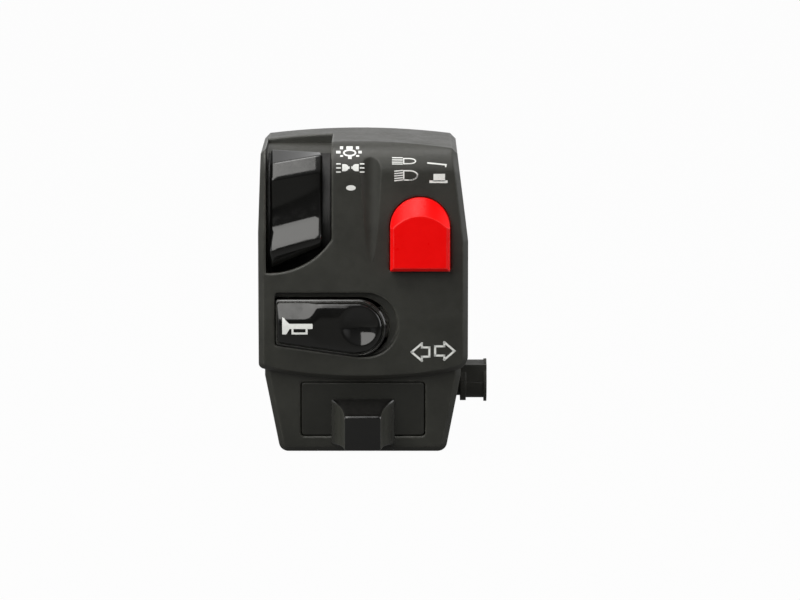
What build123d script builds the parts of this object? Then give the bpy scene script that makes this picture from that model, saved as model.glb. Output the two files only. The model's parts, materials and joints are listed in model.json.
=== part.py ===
from build123d import *
from math import atan2, cos, degrees, radians, sin
import os

os.makedirs("parts", exist_ok=True)

# Left handlebar switch of a motorcycle, in millimetres.
# The origin is on the handlebar axis, at the middle of the housing.
# +X points inboard along the bar, -Y towards the rider and +Z up.
# Angles about the bar are counted from the rider side (-Y) upwards.

# Handlebar and its trough
bar_diameter = 22.2
bar_clearance = 0.05
bore_radius = bar_diameter / 2 + bar_clearance
trough_wall = 2.0
trough_radius = bore_radius + trough_wall

# Clearances
running_gap = 0.3
slide_gap = 0.15
contact_gap = 0.1
plate_gap = 0.2

# Housing walls and depths
wall = 2.2
face_depth = 28.0
face_foot_depth = 27.0
front_depth = 17.0
rim_chamfer = 1.4
top_height = 24.2
top_crown = 1.7
top_rounding = 8.0
crease_height = -23.5
upper_foot = -37.0
upper_foot_bow = 3.3
crease_foot = -41.3
upper_left_rounding = 1.6
upper_right_rounding = 4.0

# Upper housing sides as (x, z), outboard is left: slanted above a bend, upright below it
left_top = -27.4
left_bend = (-28.2, 0.0)
right_top = 25.4
right_bend = (28.5, -2.3)

# Lower housing
lower_start = -28.0
lower_shoulder = -39.6
lower_foot = -60.9
lower_half_width = 26.6
lower_foot_half_width = 22.5
lower_face_depth = 24.6
lower_foot_depth = 21.6
lower_front_depth = 15.0
lower_corner = 2.6

# Closing screws, at (x, z), from the far side into hexagonal inserts
closing_screws = [(8.0, 16.6), (-17.8, -54.4), (17.8, -54.4)]
closing_boss = 4.2
closing_shank = 1.95
closing_hole = 2.3
closing_head = 3.4
closing_head_height = 2.4
closing_seat = 8.0
closing_well = 3.7
closing_well_boss = 5.4
insert_radius = 3.0
insert_bore = 2.0
insert_length = 9.0
insert_gap = 0.05
upper_boss_reach = 20.0
lower_boss_reach = 16.0

# Small hidden screws, rivets and bosses, drawn with eight sides
small_sides = 8
module_boss = 2.3
module_shank = 0.95
module_hole = 1.15
module_head = 1.8
module_head_height = 1.1
module_screw_length = 5.5
module_pilot = 4.6
coil_sides = 6
detent_coil = 0.72
detent_wire = 0.25

# Lights lever and its channel
channel_left = -26.1
channel_right = -8.3
channel_wall = 1.6
channel_floor = 21.5
channel_floor_wall = 2.0
channel_foot = -13.95
channel_rib = 2.0
lever_travel = 20.0
skirt_wall = 1.6
skirt_start = -34.0
skirt_end = 59.0
skirt_side_gap = 0.4
paddle_left = -25.0
paddle_right = -10.9
stem_x = -18.0
stem_half_width = 2.4
stem_angle = 12.0
stem_half_angle = 6.0
carrier_wall = 2.8
carrier_start = -2.0
carrier_end = 27.0
carrier_left = -23.4
carrier_side_gap = 0.5
lever_screw_recess = 0.8
lever_screw_length = 4.0
lever_screw_pilot = 3.0
plate_wall = 1.45
plate_left = -24.2
plate_length = 12.2
plate_start = -6.0
plate_end = 44.0
pad_wall = 0.5
pad_width = 2.4
pad_left = -22.8
pad_right = -16.8
common_pad = (-2.0, 28.0)
park_pad = (9.0, 16.0)
headlight_pad = (19.0, 28.0)
wiper_end = 5.0
wiper_wall = 0.5
wiper_stem = (0.5, 4.0)
ball_radius = 1.1
ball_latitude = 50.0
ball_gap = 0.05
light_ball_bore = 7.0
ball_angle = 22.0
ball_stand_out = 0.35
ball_track = 0.55

# Soft groove beside the dimmer
groove_x = 2.3
groove_radius = 4.0
groove_depth = 0.9
groove_height = 12.0
groove_tilt = 2.6

# Dimmer push button
dimmer_x = 15.5
dimmer_half_width = 8.05
dimmer_crown = 9.7
dimmer_foot = -9.9
dimmer_proud = 5.0
dimmer_travel = 3.0
dimmer_flange = 0.9
dimmer_flange_rim = 0.9
dimmer_flange_corner = 4.4
dimmer_plunger_half = 3.6
dimmer_case_half_width = 7.0
dimmer_case_half_height = 9.0
dimmer_case_wall = 1.2
dimmer_case_gap = 0.65
dimmer_plate_wall = 0.8
dimmer_ear_height = 13.8
dimmer_ear_wall = 1.6
dimmer_edge = 0.9
dimmer_slope_foot = 5.2
dimmer_slope_angle = 43.0
dimmer_slope_radius = 12.0
window_corner = 0.8
contact_strip = 0.4
dimmer_contact_height = 3.9
dimmer_rivet_x = 2.6
dimmer_rivet = 0.7
dimmer_rivet_height = 0.35
dimmer_cup_crown = 2.4
spring_cup_radius = 2.6
dimmer_coil = 1.9
dimmer_wire = 0.45

# Horn key
horn_left = -23.5
horn_right = 6.35
horn_top = -18.1
horn_foot = -33.6
horn_taper = 8.0
horn_crown_inset = 1.1
horn_nose_inset = 2.9
horn_foot_inset = 1.8
horn_proud = 2.2
horn_edge_proud = 0.4
horn_sink = 2.8
horn_back = face_depth - horn_sink
horn_travel = 6.0
horn_pin_inset = 2.0
horn_pin_drop = 6.2
horn_pin_setback = 1.6
horn_pin_x = horn_left + horn_pin_inset
horn_pin_height = horn_top - horn_pin_drop
horn_pin_depth = horn_back - horn_pin_setback
horn_pin_radius = 0.8
horn_barrel = 1.55
horn_ear_rim = 1.25
horn_ear_wall = 1.6
lug_half_height = 3.8
lug_root = 0.5
horn_pin_gap = 0.05
horn_right_gap = 1.0
horn_relief_right = 9.6
horn_relief_top = -16.2
horn_relief_depth = 2.8
horn_collar = 2.0
horn_collar_wall = 1.0
horn_dish_radius = 9.0
horn_dish_depth = 1.1
horn_dish_x = -1.2
horn_dish_height = -26.0
horn_spring_room = 7.8
horn_base_depth = horn_back - horn_spring_room
horn_base_wall = 1.8
horn_base_rim = 1.0
horn_base_taper = 4.0
horn_spring_x = -6.0
horn_coil = 1.75
horn_wire = 0.4
horn_spring_seat = 1.3
horn_spring_seat_height = 1.2
horn_contact_x = 0.5
horn_strip_width = 5.0
horn_strip_height = 4.0
horn_rivet = 1.2
horn_rivet_height = 2.4
horn_plate_rim = 0.5
horn_right_boss_x = 11.6
horn_left_boss_x = -14.0
horn_left_boss_drop = 2.8
horn_middle = (horn_top + horn_foot) / 2

# Turn signal switch, set in the tilted lower face
turn_height = -48.9
turn_travel = 4.0
bezel_half_width = 17.0
bezel_half_height = 7.7
bezel_corner = 1.1
bezel_flange = 1.2
bezel_flange_wall = 1.2
bezel_chamfer = 0.4
knob_half_width = 8.65
knob_crest_half_width = 5.0
knob_top = 3.0
knob_foot = -9.9
knob_crest_top = 0.6
knob_crest_foot = -9.0
knob_height = 10.6
knob_gap = 0.35
knob_edge = 0.5
turn_stem_half_width = 2.2
turn_stem_half_height = 1.5
shutter_half_width = 10.6
shutter_half_height = 3.4
shutter_wall = 1.0
turn_case_half_width = 13.4
turn_case_half_height = 6.0
turn_case_wall = 1.1
turn_case_length = 6.0
turn_carrier_half = 5.0
turn_base_wall = 1.2
turn_ear_x = 20.7
turn_ear_height = 6.0
turn_ear_wall = 1.6
turn_ear_drop = 2.4
turn_ball_x = 3.4
turn_ball_bore = 4.2
turn_screw_seat = 2.0
turn_screw_length = 6.5
turn_contact_room = 1.6
turn_contact_rise = 3.0
turn_wiper_block = 0.6
turn_wiper_width = 2.4
turn_wiper_height = 8.4
turn_rail_height = 1.8
turn_pad_width = 3.4
turn_pad_gap = 0.4

# Harness outlet
outlet_height = -44.4
outlet_bore = 3.5
bush_radius = 4.9
bush_rim = 5.9
bush_rim_wall = 0.8
bush_flange = 5.7
bush_flange_wall = 1.6
bush_neck = 4.3
bush_end = 34.0
bush_seat = 26.7
bush_start = 20.5
clamp_x = 8.0
clamp_wall = 1.4

# Places worked out from the sizes above
carrier_outer = channel_floor - channel_floor_wall - running_gap
carrier_inner = carrier_outer - carrier_wall
carrier_right = channel_right - carrier_side_gap
ball_path = carrier_outer - carrier_wall / 2
skirt_inner = channel_floor + running_gap
skirt_outer = skirt_inner + skirt_wall
plate_outer = trough_radius + plate_wall
pad_outer = plate_outer + pad_wall
dimmer_flange_depth = face_depth - wall - running_gap
dimmer_plunger_depth = dimmer_flange_depth - dimmer_flange
dimmer_plate_depth = trough_radius + plate_gap + dimmer_plate_wall
dimmer_case_depth = dimmer_plunger_depth - dimmer_travel - dimmer_case_gap
dimmer_case_length = dimmer_case_depth - dimmer_plate_depth
dimmer_contact_depth = dimmer_plate_depth + dimmer_rivet_height + contact_gap + dimmer_travel
dimmer_plunger_length = dimmer_plunger_depth - dimmer_contact_depth - contact_strip
spring_cup = dimmer_plunger_length - dimmer_cup_crown
dimmer_ear_depth = dimmer_case_depth - dimmer_ear_wall / 2
dimmer_ears = [(dimmer_x, dimmer_ear_height), (dimmer_x, -dimmer_ear_height)]
horn_bosses = [
    (horn_right_boss_x, horn_middle),
    (horn_left_boss_x, horn_foot - horn_left_boss_drop),
]
turn_bosses = [(turn_ear_x, turn_ear_height), (-turn_ear_x, turn_ear_height)]
shutter_top = -wall - bezel_flange_wall - slide_gap
turn_case_top = shutter_top - shutter_wall - slide_gap
turn_ear_seat = turn_case_top - turn_ear_drop
turn_base_top = turn_case_top - turn_case_length
tilt = degrees(atan2(lower_face_depth - lower_foot_depth, lower_start - lower_foot))


def rider_plane(depth):
    """Return an upright plane at a depth in front of the bar, facing the rider."""
    return Plane.XZ.offset(depth)


def lower_face_y(height):
    """Return where the lower rider face stands at a height."""
    fall = (lower_start - height) / (lower_start - lower_foot)
    return -lower_face_depth + (lower_face_depth - lower_foot_depth) * fall


def turn_plane(height):
    """Return the tilted plane of the turn signal switch, raised from the lower face."""
    face = Plane(
        origin=(0, lower_face_y(turn_height), turn_height),
        x_dir=(1, 0, 0),
        z_dir=(0, -cos(radians(tilt)), -sin(radians(tilt))),
    )
    return face.offset(height)


def bar_plane(x, radius, angle):
    """Return a plane facing outwards from the bar at a radius and an angle."""
    away = (0, -cos(radians(angle)), sin(radians(angle)))
    return Plane(origin=(x, radius * away[1], radius * away[2]), x_dir=(1, 0, 0), z_dir=away)


def around_bar(radius, angle):
    """Return the (y, z) of a point at a radius and an angle about the bar."""
    return (-radius * cos(radians(angle)), radius * sin(radians(angle)))


def ring_sector(x, inner, outer, start, end):
    """Return a ring sector about the bar axis, drawn at x and facing inboard."""
    with BuildSketch(Plane.YZ.offset(x)) as sector:
        with BuildLine():
            near = CenterArc((0, 0), inner, 180 - end, end - start)
            far = CenterArc((0, 0), outer, 180 - end, end - start)
            Line(near @ 0, far @ 0)
            Line(near @ 1, far @ 1)
        make_face()
    return sector.sketch


def upper_outline(inset):
    """Return the upper housing's outline, drawn in by inset, with rounded foot corners."""
    with BuildSketch(Plane.XZ) as outline:
        with BuildLine():
            top = ThreePointArc(
                (left_top, top_height - top_crown),
                ((left_top + right_top) / 2, top_height),
                (right_top, top_height - top_crown),
            )
            right = Polyline(top @ 1, right_bend, (right_bend[0], upper_foot))
            foot = ThreePointArc(
                right @ 1, (0, upper_foot - upper_foot_bow), (left_bend[0], upper_foot)
            )
            Polyline(foot @ 1, left_bend, top @ 0)
        make_face()
        if inset:
            offset(amount=-inset, kind=Kind.INTERSECTION)
        else:
            right_foot = outline.vertices().sort_by_distance((right_bend[0], upper_foot))[0]
            fillet(right_foot, upper_right_rounding)
            left_foot = outline.vertices().sort_by_distance((left_bend[0], upper_foot))[0]
            fillet(left_foot, upper_left_rounding)
    return outline.sketch


def lower_outline(inset):
    """Return the lower housing's outline, drawn in by inset, with rounded foot corners."""
    with BuildSketch(Plane.XZ) as outline:
        with BuildLine():
            Polyline(
                (-lower_half_width, lower_start),
                (-lower_half_width, lower_shoulder),
                (-lower_foot_half_width, lower_foot),
                (lower_foot_half_width, lower_foot),
                (lower_half_width, lower_shoulder),
                (lower_half_width, lower_start),
                close=True,
            )
        make_face()
        if inset:
            offset(amount=-inset, kind=Kind.INTERSECTION)
        else:
            fillet(outline.vertices().group_by(Axis.Y)[0], lower_corner)
    return outline.sketch


def rider_upper(inset):
    """Return the rider half of the upper housing, full inside, drawn in by inset."""
    with BuildPart() as form:
        extrude(upper_outline(inset), amount=face_depth)
        with BuildSketch(Plane.YZ) as profile:
            with BuildLine():
                Polyline(
                    (face_depth, top_height),
                    (-face_depth, top_height),
                    (-face_depth, crease_height),
                    (-face_foot_depth, crease_foot),
                    (-face_foot_depth, 2 * upper_foot),
                    (face_depth, 2 * upper_foot),
                    close=True,
                )
            make_face()
            fillet(profile.vertices().sort_by_distance((-face_depth, top_height))[0], top_rounding)
            if inset:
                offset(amount=-inset, kind=Kind.INTERSECTION)
        extrude(amount=2 * face_depth, both=True, mode=Mode.INTERSECT)
        if not inset:
            # The rim round the face and along the top, without the crease and the bends
            rims = form.edges().filter_by(lambda edge: edge.center().Y < 1 - face_depth)
            tops = form.edges().filter_by(Axis.Y).sort_by(Axis.Z)[-2:]
            chamfer(rims - rims.filter_by(Axis.X) + tops, rim_chamfer)
    return form.part


def rider_lower(inset):
    """Return the rider half of the lower housing, full inside, drawn in by inset."""
    with BuildPart() as form:
        extrude(lower_outline(inset), amount=lower_face_depth)
        with BuildSketch(Plane.YZ):
            with BuildLine():
                Polyline(
                    (lower_face_y(lower_start), lower_start),
                    (lower_face_y(2 * lower_foot), 2 * lower_foot),
                    (face_depth, 2 * lower_foot),
                    (face_depth, lower_start),
                    close=True,
                )
            make_face()
            if inset:
                offset(amount=-inset, kind=Kind.INTERSECTION)
        extrude(amount=2 * face_depth, both=True, mode=Mode.INTERSECT)
        if not inset:
            rim = form.faces().sort_by(Axis.Y)[0].edges().sort_by(Axis.Z)
            chamfer(rim[:-1], rim_chamfer)
    return form.part


def far_form(inset):
    """Return the far half of the housing, full inside, drawn in by inset."""
    with BuildPart() as form:
        for outline, depth in (
            (lower_outline(inset), lower_front_depth),
            (upper_outline(inset), front_depth),
        ):
            with BuildPart() as half:
                extrude(outline, amount=inset - depth)
                if not inset:
                    if depth == front_depth:
                        tops = half.edges().filter_by(Axis.Y).sort_by(Axis.Z)[-2:]
                        chamfer(tops, rim_chamfer)
                    chamfer(half.faces().sort_by(Axis.Y)[-1].edges(), rim_chamfer)
            add(half.part)
    return form.part


def small_screw(seat, head_height, length):
    """Return a small screw with its head on the seat plane."""
    with BuildPart() as screw:
        with BuildSketch(seat):
            RegularPolygon(module_head, small_sides)
        extrude(amount=head_height)
        with BuildSketch(seat):
            RegularPolygon(module_shank, small_sides)
        extrude(amount=-length)
    return screw.part


def coil_spring(seat, length, radius, wire, turns):
    """Return a coil spring on the seat plane, its coil drawn in straight chords."""
    steps = turns * coil_sides
    turn = 360 / coil_sides
    rise = (length - wire) / steps
    chords = [
        (radius * cos(radians(turn * step)), radius * sin(radians(turn * step)), wire / 2 + rise * step)
        for step in range(steps + 1)
    ]
    with BuildPart() as spring:
        with BuildLine():
            path = Polyline(*chords)
        with BuildSketch(Plane(origin=path @ 0, z_dir=path % 0)):
            Rectangle(wire, wire)
        sweep(transition=Transition.RIGHT)
    return seat.location * spring.part


def detent_ball(place):
    """Return a small ball at a plane's origin, drawn with flat facets."""
    with BuildPart() as ball:
        for latitude in (-ball_latitude, 0, ball_latitude):
            with BuildSketch(place.offset(ball_radius * sin(radians(latitude)))):
                RegularPolygon(ball_radius * cos(radians(latitude)), small_sides)
        loft(ruled=True)
    return ball.part


def dimmer_outline(depth, half_width, crown, foot):
    """Return the dimmer button's outline: round above, flat below."""
    with BuildSketch(rider_plane(depth)) as outline:
        with BuildLine():
            arch = CenterArc((dimmer_x, crown - half_width), half_width, 0, 180)
            Polyline(
                arch @ 1,
                (dimmer_x - half_width, foot),
                (dimmer_x + half_width, foot),
                arch @ 0,
            )
        make_face()
    return outline.sketch


def horn_outline(depth, left, right, foot, top, corner):
    """Return the horn key's outline: square to the left, round to the right, narrowing left."""
    with BuildSketch(rider_plane(depth)) as outline:
        radius = (top - foot) / 2
        with BuildLine():
            nose = CenterArc(
                (right - radius, foot + radius), radius, -90 - horn_taper, 180 + horn_taper
            )
            start = nose @ 0
            rise = (start.X - left) * sin(radians(horn_taper)) / cos(radians(horn_taper))
            Polyline(nose @ 1, (left, top), (left, start.Y + rise), start)
        make_face()
        fillet(outline.vertices().group_by(Axis.X)[0], corner)
    return outline.sketch


# Outer form of the two halves, and the hollow inside them
with BuildPart() as rider_outer:
    add(rider_upper(0))
    add(rider_lower(0))

with BuildPart() as rider_hollow:
    add(rider_upper(wall))
    add(rider_lower(wall))

# The cut that opens the lever channel through the rider face and the top
channel_edge = ((channel_right, -1.8), (-13.0, -6.9), (channel_left, -11.0))
with BuildPart() as channel_cut:
    with BuildSketch(rider_plane(0)):
        with BuildLine():
            sill = ThreePointArc(*channel_edge)
            Polyline(
                sill @ 1,
                (channel_left, 2 * top_height),
                (channel_right, 2 * top_height),
                sill @ 0,
            )
        make_face()
    extrude(amount=2 * face_depth)
    with BuildSketch(rider_plane(0)):
        with BuildLine():
            Polyline(
                (channel_left, channel_foot),
                (channel_left, 2 * top_height),
                (channel_right, 2 * top_height),
                (channel_right, channel_foot),
                close=True,
            )
        make_face()
    extrude(amount=face_depth - wall)
    with BuildSketch(Plane.YZ.offset(channel_left)):
        Circle(channel_floor)
    extrude(amount=channel_right - channel_left, mode=Mode.SUBTRACT)

# Walls, trough and bosses inside the rider shell
with BuildPart() as rear_frame:
    with BuildSketch(Plane.YZ.offset(-2 * right_bend[0])):
        Circle(trough_radius)
    extrude(amount=4 * right_bend[0])
    with BuildSketch(Plane.YZ.offset(-2 * right_bend[0])):
        with BuildLine():
            Polyline(
                (-2 * face_depth, channel_foot - channel_wall),
                (-2 * face_depth, 2 * top_height),
                (0, 2 * top_height),
                (0, channel_foot - channel_wall),
                close=True,
            )
        make_face()
    extrude(amount=2 * right_bend[0] + channel_right + channel_wall)
    with BuildSketch(Plane.YZ.offset(channel_left)):
        Circle(channel_floor - channel_floor_wall)
        with BuildLine():
            Polyline(
                (-2 * top_height, channel_foot),
                (2 * top_height, channel_foot),
                (2 * top_height, -2 * top_height),
                (-2 * top_height, -2 * top_height),
                close=True,
            )
        make_face(mode=Mode.SUBTRACT)
        Circle(trough_radius, mode=Mode.SUBTRACT)
    extrude(amount=channel_right - channel_left, mode=Mode.SUBTRACT)
    with BuildSketch(rider_plane(0)):
        with Locations(closing_screws[0]):
            RegularPolygon(closing_boss, small_sides)
    extrude(amount=upper_boss_reach)
    with BuildSketch(rider_plane(0)):
        with Locations(*closing_screws[1:]):
            RegularPolygon(closing_boss, small_sides)
    extrude(amount=lower_boss_reach)
    # Bosses that carry the dimmer, horn and turn signal switches
    with BuildSketch(rider_plane(dimmer_ear_depth)):
        with Locations(*dimmer_ears):
            RegularPolygon(module_boss, small_sides)
    extrude(amount=face_depth - wall - dimmer_ear_depth)
    with BuildSketch(rider_plane(horn_base_depth)):
        with Locations(*horn_bosses):
            RegularPolygon(module_boss, small_sides)
    extrude(amount=face_depth - wall - horn_base_depth)
    with BuildSketch(turn_plane(-wall)):
        with Locations(*turn_bosses):
            RegularPolygon(module_boss, small_sides)
    extrude(amount=turn_ear_seat + wall)
    # Collar behind the horn window, which leaves depth for the finger relief
    extrude(
        horn_outline(
            face_depth - wall - horn_collar,
            horn_left - running_gap - horn_collar_wall,
            horn_relief_right + horn_collar_wall,
            horn_foot - running_gap - horn_collar_wall,
            horn_relief_top + horn_collar_wall,
            window_corner,
        ),
        amount=horn_collar,
    )
    add(rider_outer.part, mode=Mode.INTERSECT)

# Shell on the rider side
with BuildPart() as rear_housing:
    add(rider_outer.part)
    add(rider_hollow.part, mode=Mode.SUBTRACT)
    add(rear_frame.part)
    add(channel_cut.part, mode=Mode.SUBTRACT)
    # Bore for the handlebar
    with BuildSketch(Plane.YZ.offset(-2 * right_bend[0])):
        Circle(bore_radius)
    extrude(amount=4 * right_bend[0], mode=Mode.SUBTRACT)
    # Pockets for the threaded inserts
    with BuildSketch(rider_plane(0)):
        with Locations(*closing_screws):
            RegularPolygon(insert_radius + insert_gap, 6)
    extrude(amount=insert_length, mode=Mode.SUBTRACT)
    # Slot for the lever's stem, and the track of its detent ball
    slot_left = stem_x - stem_half_width - slide_gap
    slot_start = stem_angle - stem_half_angle - 1
    slot_end = stem_angle + stem_half_angle + lever_travel + 1
    extrude(
        ring_sector(slot_left, trough_radius + 1, channel_floor + 1, slot_start, slot_end),
        amount=2 * (stem_half_width + slide_gap),
        mode=Mode.SUBTRACT,
    )
    extrude(
        ring_sector(
            channel_right,
            ball_path - ball_radius - slide_gap,
            ball_path + ball_radius + slide_gap,
            ball_angle - 4,
            ball_angle + lever_travel + 4,
        ),
        amount=ball_track,
        mode=Mode.SUBTRACT,
    )
    # Dimmer window
    extrude(
        dimmer_outline(
            face_depth - wall - 1,
            dimmer_half_width + running_gap,
            dimmer_crown + running_gap,
            dimmer_foot - running_gap,
        ),
        amount=2 * wall,
        mode=Mode.SUBTRACT,
    )
    # Soft groove between the lever symbols and the dimmer, which fades out downwards
    with Locations((groove_x, groove_depth - groove_radius - face_depth, groove_height)):
        Cylinder(groove_radius, 5 * groove_height, rotation=(-groove_tilt, 0, 0), mode=Mode.SUBTRACT)
    # Horn window with the finger relief round its top and right
    extrude(
        horn_outline(
            face_depth - 2 * wall - horn_collar,
            horn_left - running_gap,
            horn_right + horn_right_gap,
            horn_foot - running_gap,
            horn_top + running_gap,
            window_corner,
        ),
        amount=face_depth,
        mode=Mode.SUBTRACT,
    )
    extrude(
        horn_outline(
            face_depth - horn_relief_depth,
            horn_left - running_gap,
            horn_relief_right,
            horn_foot - running_gap,
            horn_relief_top,
            window_corner,
        ),
        amount=face_depth,
        mode=Mode.SUBTRACT,
    )
    # Window for the turn signal panel
    with BuildSketch(turn_plane(-2 * wall)):
        RectangleRounded(2 * bezel_half_width, 2 * bezel_half_height, bezel_corner)
    extrude(amount=3 * wall, mode=Mode.SUBTRACT)
    # Pilot holes of the small screws
    with BuildSketch(rider_plane(dimmer_ear_depth)):
        with Locations(*dimmer_ears):
            RegularPolygon(module_hole, small_sides)
    extrude(amount=module_pilot, mode=Mode.SUBTRACT)
    with BuildSketch(rider_plane(horn_base_depth)):
        with Locations(*horn_bosses):
            RegularPolygon(module_hole, small_sides)
    extrude(amount=module_pilot, mode=Mode.SUBTRACT)
    with BuildSketch(turn_plane(turn_ear_seat)):
        with Locations(*turn_bosses):
            RegularPolygon(module_hole, small_sides)
    extrude(amount=module_pilot, mode=Mode.SUBTRACT)
    # Half of the harness outlet
    with BuildSketch(Plane.YZ):
        with Locations((0, outlet_height)):
            Circle(bush_neck + slide_gap)
    extrude(amount=2 * right_bend[0], mode=Mode.SUBTRACT)
rear_housing.part.label = "rear_housing"
export_step(rear_housing.part, "parts/rear_housing.step")

# Trough, screw wells and harness posts inside the far shell
clamp_seat = 4.0
clamp_pitch = 14.0
clamp_posts = [
    (clamp_x, outlet_height - clamp_pitch / 2),
    (clamp_x, outlet_height + clamp_pitch / 2),
]
with BuildPart() as front_frame:
    with BuildSketch(Plane.YZ.offset(-2 * right_bend[0])):
        Circle(trough_radius)
    extrude(amount=4 * right_bend[0])
    with BuildSketch(rider_plane(0)):
        with Locations(*closing_screws):
            RegularPolygon(closing_well_boss, small_sides)
    extrude(amount=-front_depth)
    with BuildSketch(rider_plane(0)):
        with Locations(*clamp_posts):
            RegularPolygon(module_boss, small_sides)
    extrude(amount=-front_depth)
    # Rib that closes the top of the lever channel
    with Locations((channel_left - channel_wall, 0, channel_floor - channel_floor_wall)):
        Box(
            channel_right - channel_left + 2 * channel_wall,
            channel_rib,
            top_height - channel_floor,
            align=Align.MIN,
        )
    add(far_form(0), mode=Mode.INTERSECT)

# Shell on the far side, which closes the clamp
with BuildPart() as front_housing:
    add(far_form(0))
    add(far_form(wall), mode=Mode.SUBTRACT)
    add(front_frame.part)
    with BuildSketch(rider_plane(clamp_seat)):
        with Locations(*clamp_posts):
            RegularPolygon(module_boss, small_sides)
    extrude(amount=-clamp_seat)
    with BuildSketch(Plane.YZ.offset(-2 * right_bend[0])):
        Circle(bore_radius)
    extrude(amount=4 * right_bend[0], mode=Mode.SUBTRACT)
    with BuildSketch(rider_plane(0)):
        with Locations(*closing_screws):
            RegularPolygon(closing_hole, small_sides)
    extrude(amount=-closing_seat, mode=Mode.SUBTRACT)
    with BuildSketch(rider_plane(-closing_seat)):
        with Locations(*closing_screws):
            Circle(closing_well)
    extrude(amount=-front_depth, mode=Mode.SUBTRACT)
    with BuildSketch(rider_plane(clamp_seat)):
        with Locations(*clamp_posts):
            RegularPolygon(module_hole, small_sides)
    extrude(amount=-module_pilot, mode=Mode.SUBTRACT)
    with BuildSketch(Plane.YZ):
        with Locations((0, outlet_height)):
            Circle(bush_neck + slide_gap)
    extrude(amount=2 * right_bend[0], mode=Mode.SUBTRACT)
front_housing.part.label = "front_housing"
export_step(front_housing.part, "parts/front_housing.step")

# Closing screws and the inserts they turn into
with BuildPart() as housing_screws:
    with BuildSketch(rider_plane(-closing_seat)):
        with Locations(*closing_screws):
            Circle(closing_head)
    extrude(amount=-closing_head_height)
    with BuildSketch(rider_plane(-closing_seat)):
        with Locations(*closing_screws):
            RegularPolygon(closing_shank, small_sides)
    extrude(amount=closing_seat + insert_length)
housing_screws.part.label = "housing_screws"
export_step(housing_screws.part, "parts/housing_screws.step")

with BuildPart() as threaded_inserts:
    with BuildSketch(rider_plane(0)):
        with Locations(*closing_screws):
            RegularPolygon(insert_radius, 6)
            RegularPolygon(insert_bore, small_sides, mode=Mode.SUBTRACT)
    extrude(amount=insert_length)
threaded_inserts.part.label = "threaded_inserts"
export_step(threaded_inserts.part, "parts/threaded_inserts.step")

# Lights lever: two slanted finger ridges on a curved skirt
# Each ridge corner is (y, z) at the left end, with its shift to the right end
back_shift = (-3.4, -0.6)
upper_shift = (1.8, 2.4)
valley_shift = (0.8, 3.8)
lower_shift = (-0.7, 6.5)
ridges = [
    ((-11.0, 17.5), back_shift),
    ((-13.1, 21.3), back_shift),
    ((-22.6, 18.2), upper_shift),
    ((-25.6, 14.2), upper_shift),
    ((-24.8, 6.4), valley_shift),
    ((-26.4, 0.9), valley_shift),
    ((-30.7, -4.6), lower_shift),
    ((-25.9, -10.2), lower_shift),
    ((-19.0, -11.0), lower_shift),
]
with BuildPart() as light_lever:
    with BuildSketch(Plane.YZ.offset(paddle_left)):
        with BuildLine():
            Polyline(*[corner for corner, shift in ridges], close=True)
        make_face()
    with BuildSketch(Plane.YZ.offset(paddle_right)):
        with BuildLine():
            Polyline(*[(y + dy, z + dz) for (y, z), (dy, dz) in ridges], close=True)
        make_face()
    loft(ruled=True)
    with BuildSketch(Plane.YZ.offset(paddle_left)):
        Circle(skirt_inner + skirt_wall / 2)
    extrude(amount=paddle_right - paddle_left, mode=Mode.SUBTRACT)
    extrude(
        ring_sector(
            channel_left + skirt_side_gap, skirt_inner, skirt_outer, skirt_start, skirt_end
        ),
        amount=channel_right - channel_left - 2 * skirt_side_gap,
    )
    # Stem through the channel floor
    extrude(
        ring_sector(
            stem_x - stem_half_width,
            carrier_outer,
            skirt_inner + skirt_wall / 2,
            stem_angle - stem_half_angle,
            stem_angle + stem_half_angle,
        ),
        amount=2 * stem_half_width,
    )
    with BuildSketch(bar_plane(stem_x, carrier_outer - 1, stem_angle)):
        RegularPolygon(module_hole, small_sides)
    extrude(amount=1 + lever_screw_pilot, mode=Mode.SUBTRACT)
light_lever.part.label = "light_lever"
export_step(light_lever.part, "parts/light_lever.step")

# Slider under the channel floor, with its screw, ball, spring and moving contact
with BuildPart() as light_carrier:
    extrude(
        ring_sector(carrier_left, carrier_inner, carrier_outer, carrier_start, carrier_end),
        amount=carrier_right - carrier_left,
    )
    with BuildSketch(bar_plane(stem_x, carrier_inner - 1, stem_angle)):
        RegularPolygon(module_hole, small_sides)
    extrude(amount=carrier_wall + 2, mode=Mode.SUBTRACT)
    with BuildSketch(bar_plane(stem_x, carrier_inner - 1, stem_angle)):
        RegularPolygon(module_head + slide_gap, small_sides)
    extrude(amount=1 + module_head_height, mode=Mode.SUBTRACT)
    with BuildSketch(Plane.YZ.offset(carrier_right)):
        with Locations(around_bar(ball_path, ball_angle)):
            RegularPolygon(ball_radius + ball_gap, small_sides)
    extrude(amount=-light_ball_bore, mode=Mode.SUBTRACT)
light_carrier.part.label = "light_carrier"
export_step(light_carrier.part, "parts/light_carrier.step")

with BuildPart() as light_lever_screw:
    head_seat = carrier_inner + module_head_height
    head_plane = bar_plane(stem_x, head_seat, stem_angle)
    seat = Plane(origin=head_plane.origin, x_dir=(1, 0, 0), z_dir=-head_plane.z_dir)
    add(small_screw(seat, lever_screw_recess, lever_screw_length))
light_lever_screw.part.label = "light_lever_screw"
export_step(light_lever_screw.part, "parts/light_lever_screw.step")

ball_x = channel_right + ball_stand_out - ball_radius
with BuildPart() as light_detent_ball:
    add(detent_ball(Plane(origin=(ball_x, *around_bar(ball_path, ball_angle)), z_dir=(1, 0, 0))))
light_detent_ball.part.label = "light_detent_ball"
export_step(light_detent_ball.part, "parts/light_detent_ball.step")

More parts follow.
